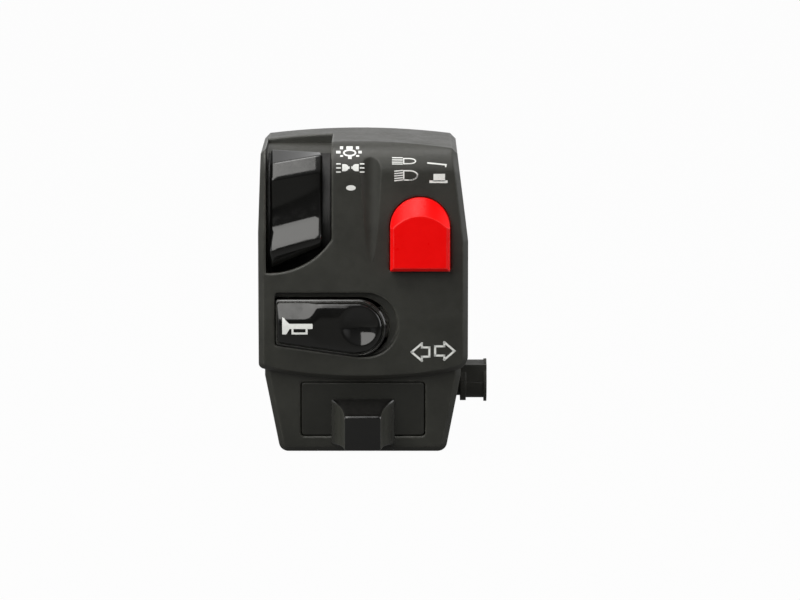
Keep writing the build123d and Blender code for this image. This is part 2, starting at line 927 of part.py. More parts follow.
with BuildPart() as light_detent_spring:
    bore_end = carrier_right - light_ball_bore
    seat = Plane(origin=(bore_end, *around_bar(ball_path, ball_angle)), z_dir=(1, 0, 0))
    add(coil_spring(seat, ball_x - 0.8 * ball_radius - bore_end, detent_coil, detent_wire, 4))
light_detent_spring.part.label = "light_detent_spring"
export_step(light_detent_spring.part, "parts/light_detent_spring.step")

with BuildPart() as light_moving_contact:
    wiper_inner = pad_outer + contact_gap
    extrude(
        ring_sector(pad_left, wiper_inner, wiper_inner + wiper_wall, 0, wiper_end),
        amount=pad_right - pad_left + pad_width,
    )
    extrude(
        ring_sector(pad_left, wiper_inner + wiper_wall / 2, carrier_inner, *wiper_stem),
        amount=pad_width,
    )
light_moving_contact.part.label = "light_moving_contact"
export_step(light_moving_contact.part, "parts/light_moving_contact.step")

with BuildPart() as light_contact_plate:
    extrude(
        ring_sector(plate_left, trough_radius, plate_outer, plate_start, plate_end),
        amount=plate_length,
    )
light_contact_plate.part.label = "light_contact_plate"
export_step(light_contact_plate.part, "parts/light_contact_plate.step")

with BuildPart() as light_fixed_contacts:
    extrude(ring_sector(pad_left, plate_outer, pad_outer, *common_pad), amount=pad_width)
    extrude(ring_sector(pad_right, plate_outer, pad_outer, *park_pad), amount=pad_width)
    extrude(ring_sector(pad_right, plate_outer, pad_outer, *headlight_pad), amount=pad_width)
light_fixed_contacts.part.label = "light_fixed_contacts"
export_step(light_fixed_contacts.part, "parts/light_fixed_contacts.step")

# Dimmer: red push button, round above and flat below
with BuildPart() as dimmer_button:
    extrude(
        dimmer_outline(dimmer_plunger_depth, dimmer_half_width, dimmer_crown, dimmer_foot),
        amount=face_depth + dimmer_proud - dimmer_plunger_depth,
    )
    chamfer(dimmer_button.faces().sort_by(Axis.Y)[0].edges(), dimmer_edge)
    # Slope above the pressed face, with a round back
    slope_plane = Plane(
        origin=(dimmer_x, -face_depth - dimmer_proud, dimmer_slope_foot),
        x_dir=(1, 0, 0),
        z_dir=(0, -cos(radians(dimmer_slope_angle)), -sin(radians(dimmer_slope_angle))),
    )
    with BuildSketch(slope_plane):
        with Locations((0, -dimmer_slope_radius)):
            Circle(dimmer_slope_radius)
        with Locations((0, -3 * dimmer_slope_radius)):
            Rectangle(4 * dimmer_slope_radius, 4 * dimmer_slope_radius)
    extrude(amount=2 * face_depth, both=True, mode=Mode.INTERSECT)
    # Flange that stops the button behind its window
    with BuildSketch(rider_plane(dimmer_plunger_depth)) as flange:
        with Locations((dimmer_x, (dimmer_crown + dimmer_foot) / 2)):
            Rectangle(
                2 * (dimmer_half_width + dimmer_flange_rim),
                dimmer_crown - dimmer_foot + 2 * dimmer_flange_rim,
            )
        chamfer(flange.vertices().group_by(Axis.Y)[-1], dimmer_flange_corner)
    extrude(amount=dimmer_flange)
dimmer_button.part.label = "dimmer_button"
export_step(dimmer_button.part, "parts/dimmer_button.step")

with BuildPart() as dimmer_plunger:
    with BuildSketch(rider_plane(dimmer_plunger_depth)):
        with Locations((dimmer_x, 0)):
            Rectangle(2 * dimmer_plunger_half, 3 * dimmer_plunger_half)
    extrude(amount=-dimmer_plunger_length)
    with BuildSketch(rider_plane(dimmer_plunger_depth - dimmer_plunger_length)):
        with Locations((dimmer_x, 0)):
            RegularPolygon(spring_cup_radius, small_sides)
    extrude(amount=spring_cup, mode=Mode.SUBTRACT)
dimmer_plunger.part.label = "dimmer_plunger"
export_step(dimmer_plunger.part, "parts/dimmer_plunger.step")

with BuildPart() as dimmer_spring:
    seat = Plane(
        origin=(dimmer_x, -dimmer_plate_depth, 0), x_dir=(1, 0, 0), z_dir=(0, -1, 0)
    )
    cup_depth = dimmer_plunger_depth - dimmer_plunger_length + spring_cup
    add(coil_spring(seat, cup_depth - dimmer_plate_depth, dimmer_coil, dimmer_wire, 4))
dimmer_spring.part.label = "dimmer_spring"
export_step(dimmer_spring.part, "parts/dimmer_spring.step")

with BuildPart() as dimmer_moving_contact:
    with BuildSketch(rider_plane(dimmer_plunger_depth - dimmer_plunger_length)):
        with Locations((dimmer_x, dimmer_contact_height)):
            Rectangle(2 * dimmer_plunger_half, 2 * dimmer_rivet)
    extrude(amount=-contact_strip)
dimmer_moving_contact.part.label = "dimmer_moving_contact"
export_step(dimmer_moving_contact.part, "parts/dimmer_moving_contact.step")

with BuildPart() as dimmer_case:
    with BuildSketch(rider_plane(dimmer_plate_depth)):
        with Locations((dimmer_x, 0)):
            Rectangle(2 * dimmer_case_half_width, 2 * dimmer_case_half_height)
    extrude(amount=dimmer_case_length)
    with BuildSketch(rider_plane(dimmer_plate_depth)):
        with Locations((dimmer_x, 0)):
            Rectangle(
                2 * (dimmer_case_half_width - dimmer_case_wall),
                2 * (dimmer_case_half_height - dimmer_case_wall),
            )
    extrude(amount=dimmer_case_length - dimmer_case_wall, mode=Mode.SUBTRACT)
    with BuildSketch(rider_plane(dimmer_plate_depth)):
        with Locations((dimmer_x, 0)):
            Rectangle(
                2 * (dimmer_plunger_half + slide_gap), 2 * (1.5 * dimmer_plunger_half + slide_gap)
            )
    extrude(amount=dimmer_case_length, mode=Mode.SUBTRACT)
    with BuildSketch(rider_plane(dimmer_ear_depth)):
        with Locations((dimmer_x, 0)):
            Rectangle(2 * module_boss, 2 * (dimmer_ear_height + module_boss))
            Rectangle(
                2 * dimmer_case_half_width, 2 * dimmer_case_half_height, mode=Mode.SUBTRACT
            )
        with Locations(*dimmer_ears):
            RegularPolygon(module_hole, small_sides, mode=Mode.SUBTRACT)
    extrude(amount=-dimmer_ear_wall)
dimmer_case.part.label = "dimmer_case"
export_step(dimmer_case.part, "parts/dimmer_case.step")

with BuildPart() as dimmer_base:
    with BuildSketch(rider_plane(dimmer_plate_depth - dimmer_plate_wall)):
        with Locations((dimmer_x, 0)):
            Rectangle(2 * dimmer_case_half_width, 2 * dimmer_case_half_height)
    extrude(amount=dimmer_plate_wall)
dimmer_base.part.label = "dimmer_base"
export_step(dimmer_base.part, "parts/dimmer_base.step")

with BuildPart() as dimmer_fixed_contacts:
    with BuildSketch(rider_plane(dimmer_plate_depth)):
        with Locations(
            (dimmer_x - dimmer_rivet_x, dimmer_contact_height),
            (dimmer_x + dimmer_rivet_x, dimmer_contact_height),
        ):
            RegularPolygon(dimmer_rivet, small_sides)
    extrude(amount=dimmer_rivet_height)
dimmer_fixed_contacts.part.label = "dimmer_fixed_contacts"
export_step(dimmer_fixed_contacts.part, "parts/dimmer_fixed_contacts.step")

with BuildPart() as dimmer_screws:
    for x, height in dimmer_ears:
        seat = Plane(
            origin=(x, -(dimmer_ear_depth - dimmer_ear_wall), height),
            x_dir=(1, 0, 0),
            z_dir=(0, 1, 0),
        )
        add(small_screw(seat, module_head_height, module_screw_length))
dimmer_screws.part.label = "dimmer_screws"
export_step(dimmer_screws.part, "parts/dimmer_screws.step")

# Horn key: crowned cover with a thumb dish, hinged on an upright pin at its left end
pin_place = (horn_pin_x, -horn_pin_depth)
with BuildPart() as horn_button:
    skirt_face = face_depth + horn_edge_proud
    extrude(
        horn_outline(horn_back, horn_left, horn_right, horn_foot, horn_top, window_corner),
        amount=skirt_face - horn_back,
    )
    back = horn_outline(skirt_face, horn_left, horn_right, horn_foot, horn_top, window_corner)
    front = horn_outline(
        face_depth + horn_proud,
        horn_left + horn_crown_inset,
        horn_right - horn_nose_inset,
        horn_foot + horn_foot_inset,
        horn_top - horn_crown_inset,
        window_corner,
    )
    loft([back.face(), front.face()], ruled=True)
    dish_centre = -face_depth - horn_proud - horn_dish_radius + horn_dish_depth
    with Locations((horn_dish_x, dish_centre, horn_dish_height)):
        Sphere(horn_dish_radius, mode=Mode.SUBTRACT)
    # Hinge barrel behind the left end
    with BuildSketch(Plane.XY.offset(horn_pin_height - lug_half_height)):
        with Locations(pin_place):
            Circle(horn_barrel)
        with Locations((horn_pin_x, -(horn_pin_depth + horn_back + lug_root) / 2)):
            Rectangle(2 * horn_barrel, horn_back - horn_pin_depth + lug_root)
    extrude(amount=2 * lug_half_height)
    with BuildSketch(Plane.XY.offset(horn_pin_height - lug_half_height)):
        with Locations(pin_place):
            RegularPolygon(horn_pin_radius + horn_pin_gap, small_sides, major_radius=False)
    extrude(amount=2 * lug_half_height, mode=Mode.SUBTRACT)
    # Seat of the return spring
    with BuildSketch(rider_plane(horn_back)):
        with Locations((horn_spring_x, horn_middle)):
            RegularPolygon(horn_spring_seat, small_sides)
    extrude(amount=-horn_spring_seat_height)
horn_button.part.label = "horn_button"
export_step(horn_button.part, "parts/horn_button.step")

horn_ear_foot = horn_pin_height - lug_half_height - running_gap - horn_ear_wall
horn_ear_head = horn_pin_height + lug_half_height + running_gap
with BuildPart() as horn_pivot_pin:
    with BuildSketch(Plane.XY.offset(horn_ear_foot)):
        with Locations(pin_place):
            Circle(horn_pin_radius)
    extrude(amount=horn_ear_head + horn_ear_wall - horn_ear_foot)
horn_pivot_pin.part.label = "horn_pivot_pin"
export_step(horn_pivot_pin.part, "parts/horn_pivot_pin.step")

# Frame of the horn switch: a plate with two ears that hold the pin
with BuildPart() as horn_base:
    with BuildSketch(rider_plane(horn_base_depth - horn_base_wall)):
        with BuildLine():
            Polyline(
                (horn_pin_x - horn_barrel, horn_foot + horn_base_rim),
                (horn_pin_x - horn_barrel, horn_top - horn_base_rim),
                (horn_bosses[0][0], horn_top - horn_base_taper),
                (horn_bosses[0][0], horn_foot + horn_base_taper),
                close=True,
            )
        make_face()
        with Locations(*horn_bosses):
            RegularPolygon(module_boss, small_sides)
        with Locations((horn_bosses[1][0], (horn_bosses[1][1] + horn_foot) / 2 + horn_base_rim)):
            Rectangle(2 * module_boss, horn_foot - horn_bosses[1][1] + 2 * horn_base_rim)
        with Locations(*horn_bosses):
            RegularPolygon(module_hole, small_sides, mode=Mode.SUBTRACT)
    extrude(amount=horn_base_wall)
    for start in (horn_ear_foot, horn_ear_head):
        with BuildSketch(Plane.XY.offset(start)):
            with Locations((horn_pin_x, -(horn_pin_depth + horn_ear_rim + horn_base_depth) / 2)):
                Rectangle(2 * horn_barrel, horn_pin_depth + horn_ear_rim - horn_base_depth)
        extrude(amount=horn_ear_wall)
    with BuildSketch(Plane.XY.offset(horn_ear_foot)):
        with Locations(pin_place):
            RegularPolygon(horn_pin_radius + horn_pin_gap / 2, small_sides, major_radius=False)
    extrude(amount=2 * lug_half_height + 4 * horn_ear_wall, mode=Mode.SUBTRACT)
    with BuildSketch(rider_plane(horn_base_depth)):
        with Locations((horn_spring_x, horn_middle)):
            RegularPolygon(horn_spring_seat, small_sides)
    extrude(amount=horn_spring_seat_height)
horn_base.part.label = "horn_base"
export_step(horn_base.part, "parts/horn_base.step")

with BuildPart() as horn_spring:
    seat = Plane(
        origin=(horn_spring_x, -horn_base_depth, horn_middle), x_dir=(1, 0, 0), z_dir=(0, -1, 0)
    )
    add(coil_spring(seat, horn_back - horn_base_depth, horn_coil, horn_wire, 4))
horn_spring.part.label = "horn_spring"
export_step(horn_spring.part, "parts/horn_spring.step")

with BuildPart() as horn_moving_contact:
    with BuildSketch(rider_plane(horn_back)):
        with Locations((horn_contact_x, horn_middle)):
            Rectangle(horn_strip_width, horn_strip_height)
    extrude(amount=-contact_strip)
    with BuildSketch(rider_plane(horn_back - contact_strip)):
        with Locations((horn_contact_x, horn_middle)):
            RegularPolygon(horn_rivet, small_sides)
    extrude(amount=-horn_rivet_height)
horn_moving_contact.part.label = "horn_moving_contact"
export_step(horn_moving_contact.part, "parts/horn_moving_contact.step")

horn_contact_reach = horn_contact_x + horn_strip_height / 2 - horn_pin_x
horn_contact_swing = horn_contact_reach * sin(radians(horn_travel))
horn_rivet_end = horn_back - contact_strip - horn_rivet_height
with BuildPart() as horn_fixed_contact:
    with BuildSketch(rider_plane(horn_base_depth)):
        with Locations((horn_contact_x, horn_middle)):
            Rectangle(horn_strip_width + 2 * horn_plate_rim, horn_strip_height + horn_plate_rim)
    extrude(amount=pad_wall)
    with BuildSketch(rider_plane(horn_base_depth + pad_wall)):
        with Locations((horn_contact_x, horn_middle)):
            RegularPolygon(horn_rivet + slide_gap, small_sides)
    extrude(amount=horn_rivet_end - horn_contact_swing - contact_gap - horn_base_depth - pad_wall)
horn_fixed_contact.part.label = "horn_fixed_contact"
export_step(horn_fixed_contact.part, "parts/horn_fixed_contact.step")

with BuildPart() as horn_screws:
    for x, height in horn_bosses:
        seat = Plane(
            origin=(x, -(horn_base_depth - horn_base_wall), height),
            x_dir=(1, 0, 0),
            z_dir=(0, 1, 0),
        )
        add(small_screw(seat, module_head_height, module_screw_length))
horn_screws.part.label = "horn_screws"
export_step(horn_screws.part, "parts/horn_screws.step")

# Turn signal panel, set in its window from inside
with BuildPart() as turn_bezel:
    with BuildSketch(turn_plane(-wall)):
        RectangleRounded(
            2 * (bezel_half_width - slide_gap),
            2 * (bezel_half_height - slide_gap),
            bezel_corner - slide_gap,
        )
    extrude(amount=wall)
    chamfer(turn_bezel.faces().sort_by(Axis.Y)[0].edges(), bezel_chamfer)
    with BuildSketch(turn_plane(-wall - bezel_flange_wall)):
        Rectangle(2 * (bezel_half_width + bezel_flange), 2 * (bezel_half_height + bezel_flange))
    extrude(amount=bezel_flange_wall)
    with BuildSketch(turn_plane(-2 * wall)):
        Rectangle(
            2 * (turn_stem_half_width + turn_travel + slide_gap),
            2 * (turn_stem_half_height + slide_gap),
        )
    extrude(amount=3 * wall, mode=Mode.SUBTRACT)
turn_bezel.part.label = "turn_bezel"
export_step(turn_bezel.part, "parts/turn_bezel.step")

# Turn signal knob: a flared foot that narrows to a flat crest
# Each step of its flare is (rise, half width, top, foot) over the panel
knob_steps = [
    (knob_gap, knob_half_width, knob_top, knob_foot),
    (knob_gap + 1.6, knob_half_width - 1.9, knob_top - 0.4, knob_foot + 0.1),
    (knob_gap + 4.6, knob_crest_half_width + 0.9, knob_top - 1.1, knob_foot + 0.4),
    (knob_height, knob_crest_half_width, knob_crest_top, knob_crest_foot),
]
face = turn_plane(0)
with BuildPart() as turn_knob:
    with BuildSketch(Plane(origin=face.origin, x_dir=face.x_dir, z_dir=-face.y_dir)):
        with BuildLine():
            left = [(-half_width, rise) for rise, half_width, top, foot in knob_steps]
            right = [(half_width, rise) for rise, half_width, top, foot in knob_steps]
            Polyline(*left, *reversed(right), close=True)
        make_face()
    extrude(amount=2 * knob_height, both=True)
    with BuildSketch(Plane(origin=face.origin, x_dir=face.y_dir, z_dir=face.x_dir)):
        with BuildLine():
            above = [(top, rise) for rise, half_width, top, foot in knob_steps]
            below = [(foot, rise) for rise, half_width, top, foot in knob_steps]
            Polyline(*above, *reversed(below), close=True)
        make_face()
    extrude(amount=2 * knob_height, both=True, mode=Mode.INTERSECT)
    chamfer(turn_knob.faces().sort_by(Axis.Y)[0].edges(), knob_edge)
    with BuildSketch(turn_plane(knob_gap)):
        Rectangle(2 * turn_stem_half_width, 2 * turn_stem_half_height)
    extrude(amount=shutter_top - knob_gap)
    with BuildSketch(turn_plane(shutter_top)):
        RegularPolygon(module_hole, small_sides)
    extrude(amount=module_pilot, mode=Mode.SUBTRACT)
turn_knob.part.label = "turn_knob"
export_step(turn_knob.part, "parts/turn_knob.step")

# Slider behind the panel, with a shutter over the slot and a sprung detent ball at its top
carrier_foot = turn_base_top + turn_contact_room
detent_plane = turn_plane((turn_case_top + carrier_foot) / 2)
turn_bore_plane = Plane(
    origin=detent_plane.from_local_coords(
        (turn_ball_x, turn_case_half_height - turn_case_wall - running_gap, 0)
    ),
    x_dir=(1, 0, 0),
    z_dir=detent_plane.y_dir,
)
with BuildPart() as turn_carrier:
    with BuildSketch(turn_plane(shutter_top)):
        Rectangle(2 * shutter_half_width, 2 * shutter_half_height)
    extrude(amount=-shutter_wall)
    with BuildSketch(turn_plane(shutter_top)):
        Rectangle(2 * turn_carrier_half, 2 * (turn_case_half_height - turn_case_wall - running_gap))
    extrude(amount=carrier_foot - shutter_top)
    with BuildSketch(turn_plane(shutter_top)):
        RegularPolygon(module_hole, small_sides)
    extrude(amount=carrier_foot - shutter_top - 1, mode=Mode.SUBTRACT)
    with BuildSketch(turn_plane(shutter_top - turn_screw_seat)):
        RegularPolygon(module_head + slide_gap, small_sides)
    extrude(amount=carrier_foot - shutter_top, mode=Mode.SUBTRACT)
    with BuildSketch(turn_bore_plane):
        RegularPolygon(ball_radius + ball_gap, small_sides)
    extrude(amount=-turn_ball_bore, mode=Mode.SUBTRACT)
turn_carrier.part.label = "turn_carrier"
export_step(turn_carrier.part, "parts/turn_carrier.step")

with BuildPart() as turn_knob_screw:
    flip = turn_plane(shutter_top - turn_screw_seat)
    seat = Plane(origin=flip.origin, x_dir=(1, 0, 0), z_dir=-flip.z_dir)
    add(small_screw(seat, module_head_height, turn_screw_length))
turn_knob_screw.part.label = "turn_knob_screw"
export_step(turn_knob_screw.part, "parts/turn_knob_screw.step")

with BuildPart() as turn_detent_ball:
    add(detent_ball(turn_bore_plane.offset(running_gap + ball_stand_out - ball_radius)))
turn_detent_ball.part.label = "turn_detent_ball"
export_step(turn_detent_ball.part, "parts/turn_detent_ball.step")

with BuildPart() as turn_detent_spring:
    bore_floor = turn_bore_plane.offset(-turn_ball_bore)
    room = turn_ball_bore + running_gap + ball_stand_out - 1.8 * ball_radius
    add(coil_spring(bore_floor, room, detent_coil, detent_wire, 3))
turn_detent_spring.part.label = "turn_detent_spring"
export_step(turn_detent_spring.part, "parts/turn_detent_spring.step")

with BuildPart() as turn_moving_contact:
    with BuildSketch(turn_plane(carrier_foot)):
        with Locations((0, -turn_contact_rise)):
            Rectangle(turn_wiper_width, turn_wiper_width)
    extrude(amount=-turn_wiper_block)
    with BuildSketch(turn_plane(carrier_foot - turn_wiper_block)):
        Rectangle(turn_wiper_width, turn_wiper_height)
    extrude(amount=-contact_strip)
turn_moving_contact.part.label = "turn_moving_contact"
export_step(turn_moving_contact.part, "parts/turn_moving_contact.step")

with BuildPart() as turn_case:
    with BuildSketch(turn_plane(turn_base_top)):
        Rectangle(2 * turn_case_half_width, 2 * turn_case_half_height)
        Rectangle(
            2 * (turn_case_half_width - turn_case_wall),
            2 * (turn_case_half_height - turn_case_wall),
            mode=Mode.SUBTRACT,
        )
    extrude(amount=turn_case_length)
    # Ears screwed to the shell's bosses
    for side in (-1, 1):
        with BuildSketch(turn_plane(turn_ear_seat)):
            ear_start = turn_case_half_width - turn_case_wall / 2
            with Locations((side * (turn_ear_x + ear_start) / 2, turn_ear_height - module_boss)):
                Rectangle(turn_ear_x - ear_start, 2 * module_boss)
            with Locations((side * turn_ear_x, turn_ear_height - module_boss / 2)):
                Rectangle(2 * module_head, 3 * module_boss)
            with Locations((side * turn_ear_x, turn_ear_height)):
                RegularPolygon(module_hole, small_sides, mode=Mode.SUBTRACT)
        extrude(amount=-turn_ear_wall)
    # Track of the detent ball
    track_plane = Plane(
        origin=turn_bore_plane.origin + turn_bore_plane.z_dir * running_gap,
        x_dir=(1, 0, 0),
        z_dir=turn_bore_plane.z_dir,
    )
    with BuildSketch(track_plane):
        Rectangle(2 * (turn_travel + ball_radius + slide_gap), 2 * (ball_radius + slide_gap))
    extrude(amount=ball_track, mode=Mode.SUBTRACT)
turn_case.part.label = "turn_case"
export_step(turn_case.part, "parts/turn_case.step")

with BuildPart() as turn_base:
    with BuildSketch(turn_plane(turn_base_top - turn_base_wall)):
        Rectangle(2 * turn_case_half_width, 2 * turn_case_half_height)
    extrude(amount=turn_base_wall)
turn_base.part.label = "turn_base"
export_step(turn_base.part, "parts/turn_base.step")

with BuildPart() as turn_fixed_contacts:
    with BuildSketch(turn_plane(turn_base_top)):
        with Locations((0, turn_contact_rise)):
            Rectangle(2 * (turn_travel + turn_pad_gap) + turn_pad_width, turn_rail_height)
        with Locations(
            (-turn_travel - turn_pad_gap, -turn_contact_rise),
            (turn_travel + turn_pad_gap, -turn_contact_rise),
        ):
            Rectangle(turn_pad_width, turn_rail_height)
    extrude(amount=pad_wall)
turn_fixed_contacts.part.label = "turn_fixed_contacts"
export_step(turn_fixed_contacts.part, "parts/turn_fixed_contacts.step")

with BuildPart() as turn_screws:
    for x, height in turn_bosses:
        ear_back = turn_plane(turn_ear_seat - turn_ear_wall)
        seat = Plane(
            origin=ear_back.from_local_coords((x, height, 0)),
            x_dir=(1, 0, 0),
            z_dir=-ear_back.z_dir,
        )
        add(small_screw(seat, module_head_height, module_screw_length))
turn_screws.part.label = "turn_screws"
export_step(turn_screws.part, "parts/turn_screws.step")

# Harness outlet: a spool in two halves, flat-sided above and round below
with BuildPart() as spool:
    with BuildSketch(Plane.YZ.offset(bush_seat)):
        with Locations((0, outlet_height)):
            Circle(bush_radius)
    extrude(amount=bush_end - bush_seat)
    for start, thickness, radius in (
        (bush_seat, bush_flange_wall, bush_flange),
        (bush_end - bush_rim_wall, bush_rim_wall, bush_rim),
        (bush_start, bush_seat - bush_start, bush_neck),
    ):
        with BuildSketch(Plane.YZ.offset(start)):
            with Locations((0, outlet_height)):
                Circle(radius)
        extrude(amount=thickness)
    # Collar that holds the spool inside the wall
    with BuildSketch(Plane.YZ.offset(bush_start)):
        with Locations((0, outlet_height)):
            RegularPolygon(bush_flange, small_sides)
    extrude(amount=bush_flange_wall)
    with BuildSketch(Plane.YZ.offset(bush_start)):
        with Locations((0, outlet_height)):
            Circle(outlet_bore)
    extrude(amount=bush_end - bush_start, mode=Mode.SUBTRACT)

with BuildPart() as harness_bush_lower:
    add(spool.part)
    split(bisect_by=Plane.XY.offset(outlet_height), keep=Keep.BOTTOM)
harness_bush_lower.part.label = "harness_bush_lower"
export_step(harness_bush_lower.part, "parts/harness_bush_lower.step")

with BuildPart() as harness_bush_upper:
    with BuildSketch(Plane.YZ.offset(bush_seat)):
        with Locations((0, outlet_height + bush_radius / 2)):
            Rectangle(2 * bush_radius, bush_radius)
        with Locations((0, outlet_height)):
            Circle(outlet_bore, mode=Mode.SUBTRACT)
    extrude(amount=bush_end - bush_seat)
    add(spool.part)
    split(bisect_by=Plane.XY.offset(outlet_height), keep=Keep.TOP)
harness_bush_upper.part.label = "harness_bush_upper"
export_step(harness_bush_upper.part, "parts/harness_bush_upper.step")

# Clamp that holds the harness on two posts of the far shell
with BuildPart() as harness_clamp:
    with BuildSketch(rider_plane(clamp_seat)):
        with Locations((clamp_x, outlet_height)):
            Rectangle(2 * module_boss, clamp_pitch + 2 * module_boss)
        with Locations(*clamp_posts):
            RegularPolygon(module_hole, small_sides, mode=Mode.SUBTRACT)
    extrude(amount=clamp_wall)
harness_clamp.part.label = "harness_clamp"
export_step(harness_clamp.part, "parts/harness_clamp.step")

with BuildPart() as harness_clamp_screws:
    for x, height in clamp_posts:
        seat = Plane(
            origin=(x, -clamp_seat - clamp_wall, height), x_dir=(1, 0, 0), z_dir=(0, -1, 0)
        )
        add(small_screw(seat, module_head_height, module_screw_length))
harness_clamp_screws.part.label = "harness_clamp_screws"
export_step(harness_clamp_screws.part, "parts/harness_clamp_screws.step")
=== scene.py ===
import json
import math

import bmesh
import bpy
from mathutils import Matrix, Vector

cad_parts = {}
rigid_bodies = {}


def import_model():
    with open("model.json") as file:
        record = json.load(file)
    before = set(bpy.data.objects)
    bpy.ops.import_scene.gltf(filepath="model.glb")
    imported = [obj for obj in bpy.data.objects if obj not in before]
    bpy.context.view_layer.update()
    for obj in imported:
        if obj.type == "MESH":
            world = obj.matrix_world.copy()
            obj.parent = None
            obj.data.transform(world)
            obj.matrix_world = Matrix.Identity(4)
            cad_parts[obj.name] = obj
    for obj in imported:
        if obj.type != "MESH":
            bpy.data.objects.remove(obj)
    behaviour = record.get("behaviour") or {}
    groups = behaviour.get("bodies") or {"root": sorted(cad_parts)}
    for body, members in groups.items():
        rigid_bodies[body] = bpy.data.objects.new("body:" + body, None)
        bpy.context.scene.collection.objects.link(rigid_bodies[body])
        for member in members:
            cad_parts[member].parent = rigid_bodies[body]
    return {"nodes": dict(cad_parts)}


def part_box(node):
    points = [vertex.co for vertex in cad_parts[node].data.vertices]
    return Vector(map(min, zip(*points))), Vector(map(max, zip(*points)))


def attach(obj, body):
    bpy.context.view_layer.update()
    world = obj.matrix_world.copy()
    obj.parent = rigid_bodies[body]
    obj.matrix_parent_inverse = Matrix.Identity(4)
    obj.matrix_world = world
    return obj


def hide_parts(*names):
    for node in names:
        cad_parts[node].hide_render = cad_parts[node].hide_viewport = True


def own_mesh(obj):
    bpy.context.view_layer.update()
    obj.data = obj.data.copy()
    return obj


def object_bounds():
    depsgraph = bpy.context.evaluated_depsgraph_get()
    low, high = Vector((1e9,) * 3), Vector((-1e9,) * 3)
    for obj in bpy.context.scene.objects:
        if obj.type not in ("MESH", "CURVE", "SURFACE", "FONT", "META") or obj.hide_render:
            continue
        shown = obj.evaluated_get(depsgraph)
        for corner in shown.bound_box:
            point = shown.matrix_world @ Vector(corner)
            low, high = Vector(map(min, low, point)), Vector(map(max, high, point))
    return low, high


# The scene starts empty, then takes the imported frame
for start_object in list(bpy.data.objects):
    bpy.data.objects.remove(start_object)
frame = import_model()
cad_box = [list(corner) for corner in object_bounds()]

# Shapes are in millimetres, and the camera looks down on them by the tilt
MM = 0.001
TILT = math.radians(8)
QUARTER = math.pi / 2
TURN = 2 * math.pi

# Noise scales of the materials, in features a metre
MOTTLE, FINE_MOTTLE = 95, 700
EDGE_WEAR_AND_HIGHLIGHT_SPOTS, DUST_SPECKS = 420, 900
TARNISH, BRUSHING = 260, 1500
INK_SPOTS, INK_SHEEN, INK_GRAIN = 1400, 2500, 3000
DUST_COLOR = (0.42, 0.40, 0.36)

# How far the roughness of a plastic swings, and what polishing takes off it at an edge
BROAD_SWING, FINE_SWING, EDGE_POLISH = 0.05, 0.04, 0.3
# The least edge wear and painted edge highlight and the least dust, and the darker colour of
# tarnish and thin ink, as shares
LEAST_EDGE_WEAR_AND_HIGHLIGHT, LEAST_DUST = 0.15, 0.2
TARNISHED, THIN_INK = 0.62, 0.6


# Material nodes

def new_material(name):
    """An empty node material with its shader and output."""
    material = bpy.data.materials.new(name)
    material.use_nodes = True
    tree = material.node_tree
    tree.nodes.clear()
    out = tree.nodes.new("ShaderNodeOutputMaterial")
    shader = tree.nodes.new("ShaderNodeBsdfPrincipled")
    tree.links.new(shader.outputs["BSDF"], out.inputs["Surface"])
    return material, tree, shader


def noise(tree, scale, detail=4.0, roughness=0.55, stretch=None):
    """A noise texture in the object's own metres."""
    place = tree.nodes.new("ShaderNodeTexCoord").outputs["Object"]
    texture = tree.nodes.new("ShaderNodeTexNoise")
    texture.inputs["Scale"].default_value = scale
    texture.inputs["Detail"].default_value = detail
    texture.inputs["Roughness"].default_value = roughness
    if stretch:
        mapping = tree.nodes.new("ShaderNodeMapping")
        mapping.inputs["Scale"].default_value = stretch
        tree.links.new(place, mapping.inputs["Vector"])
        place = mapping.outputs["Vector"]
    tree.links.new(place, texture.inputs["Vector"])
    return texture.outputs["Fac"]


def spread(tree, value, low, high, start=0.3, end=0.7):
    """Map a value from start..end to low..high."""
    node = tree.nodes.new("ShaderNodeMapRange")
    node.inputs["From Min"].default_value = start
    node.inputs["From Max"].default_value = end
    node.inputs["To Min"].default_value = low
    node.inputs["To Max"].default_value = high
    tree.links.new(value, node.inputs["Value"])
    return node.outputs["Result"]


def arith(tree, operation, *values):
    """A math node on one or two values, each a socket or a number."""
    node = tree.nodes.new("ShaderNodeMath")
    node.operation = operation
    for socket, value in zip(node.inputs, values):
        if hasattr(value, "links"):
            tree.links.new(value, socket)
        else:
            socket.default_value = value
    return node.outputs["Value"]


def blend_colors(tree, factor, first, second):
    """Mix two colours by a factor."""
    node = tree.nodes.new("ShaderNodeMix")
    node.data_type = "RGBA"
    tree.links.new(factor, node.inputs["Factor"])
    for socket, value in ((node.inputs["A"], first), (node.inputs["B"], second)):
        if hasattr(value, "links"):
            tree.links.new(value, socket)
        else:
            socket.default_value = (*value, 1)
    return node.outputs["Result"]


def part_of(tree, vector, axis):
    """The X, Y or Z part of a vector."""
    split = tree.nodes.new("ShaderNodeSeparateXYZ")
    tree.links.new(vector, split.inputs["Vector"])
    return split.outputs[axis]


def surface_normal(tree):
    """The direction that the surface faces, without any bump."""
    return tree.nodes.new("ShaderNodeNewGeometry").outputs["Normal"]


def soft_edges(tree, radius):
    """The rounded normal of a moulded edge, and a mask that is 1 on such edges."""
    bevel = tree.nodes.new("ShaderNodeBevel")
    bevel.samples = 6
    bevel.inputs["Radius"].default_value = radius
    dot = tree.nodes.new("ShaderNodeVectorMath")
    dot.operation = "DOT_PRODUCT"
    tree.links.new(bevel.outputs["Normal"], dot.inputs[0])
    tree.links.new(surface_normal(tree), dot.inputs[1])
    mask = spread(tree, dot.outputs["Value"], 1.0, 0.0, 0.80, 0.99)
    return bevel.outputs["Normal"], mask


def upward(tree):
    """A mask that is 1 on surfaces that face up."""
    return spread(tree, part_of(tree, surface_normal(tree), "Z"), 0.0, 1.0, 0.35, 1.0)


def sideways(tree):
    """A mask that is 1 on surfaces that face to the left or right."""
    across = arith(tree, "ABSOLUTE", part_of(tree, surface_normal(tree), "X"))
    return spread(tree, across, 0.0, 1.0, 0.55, 0.9)


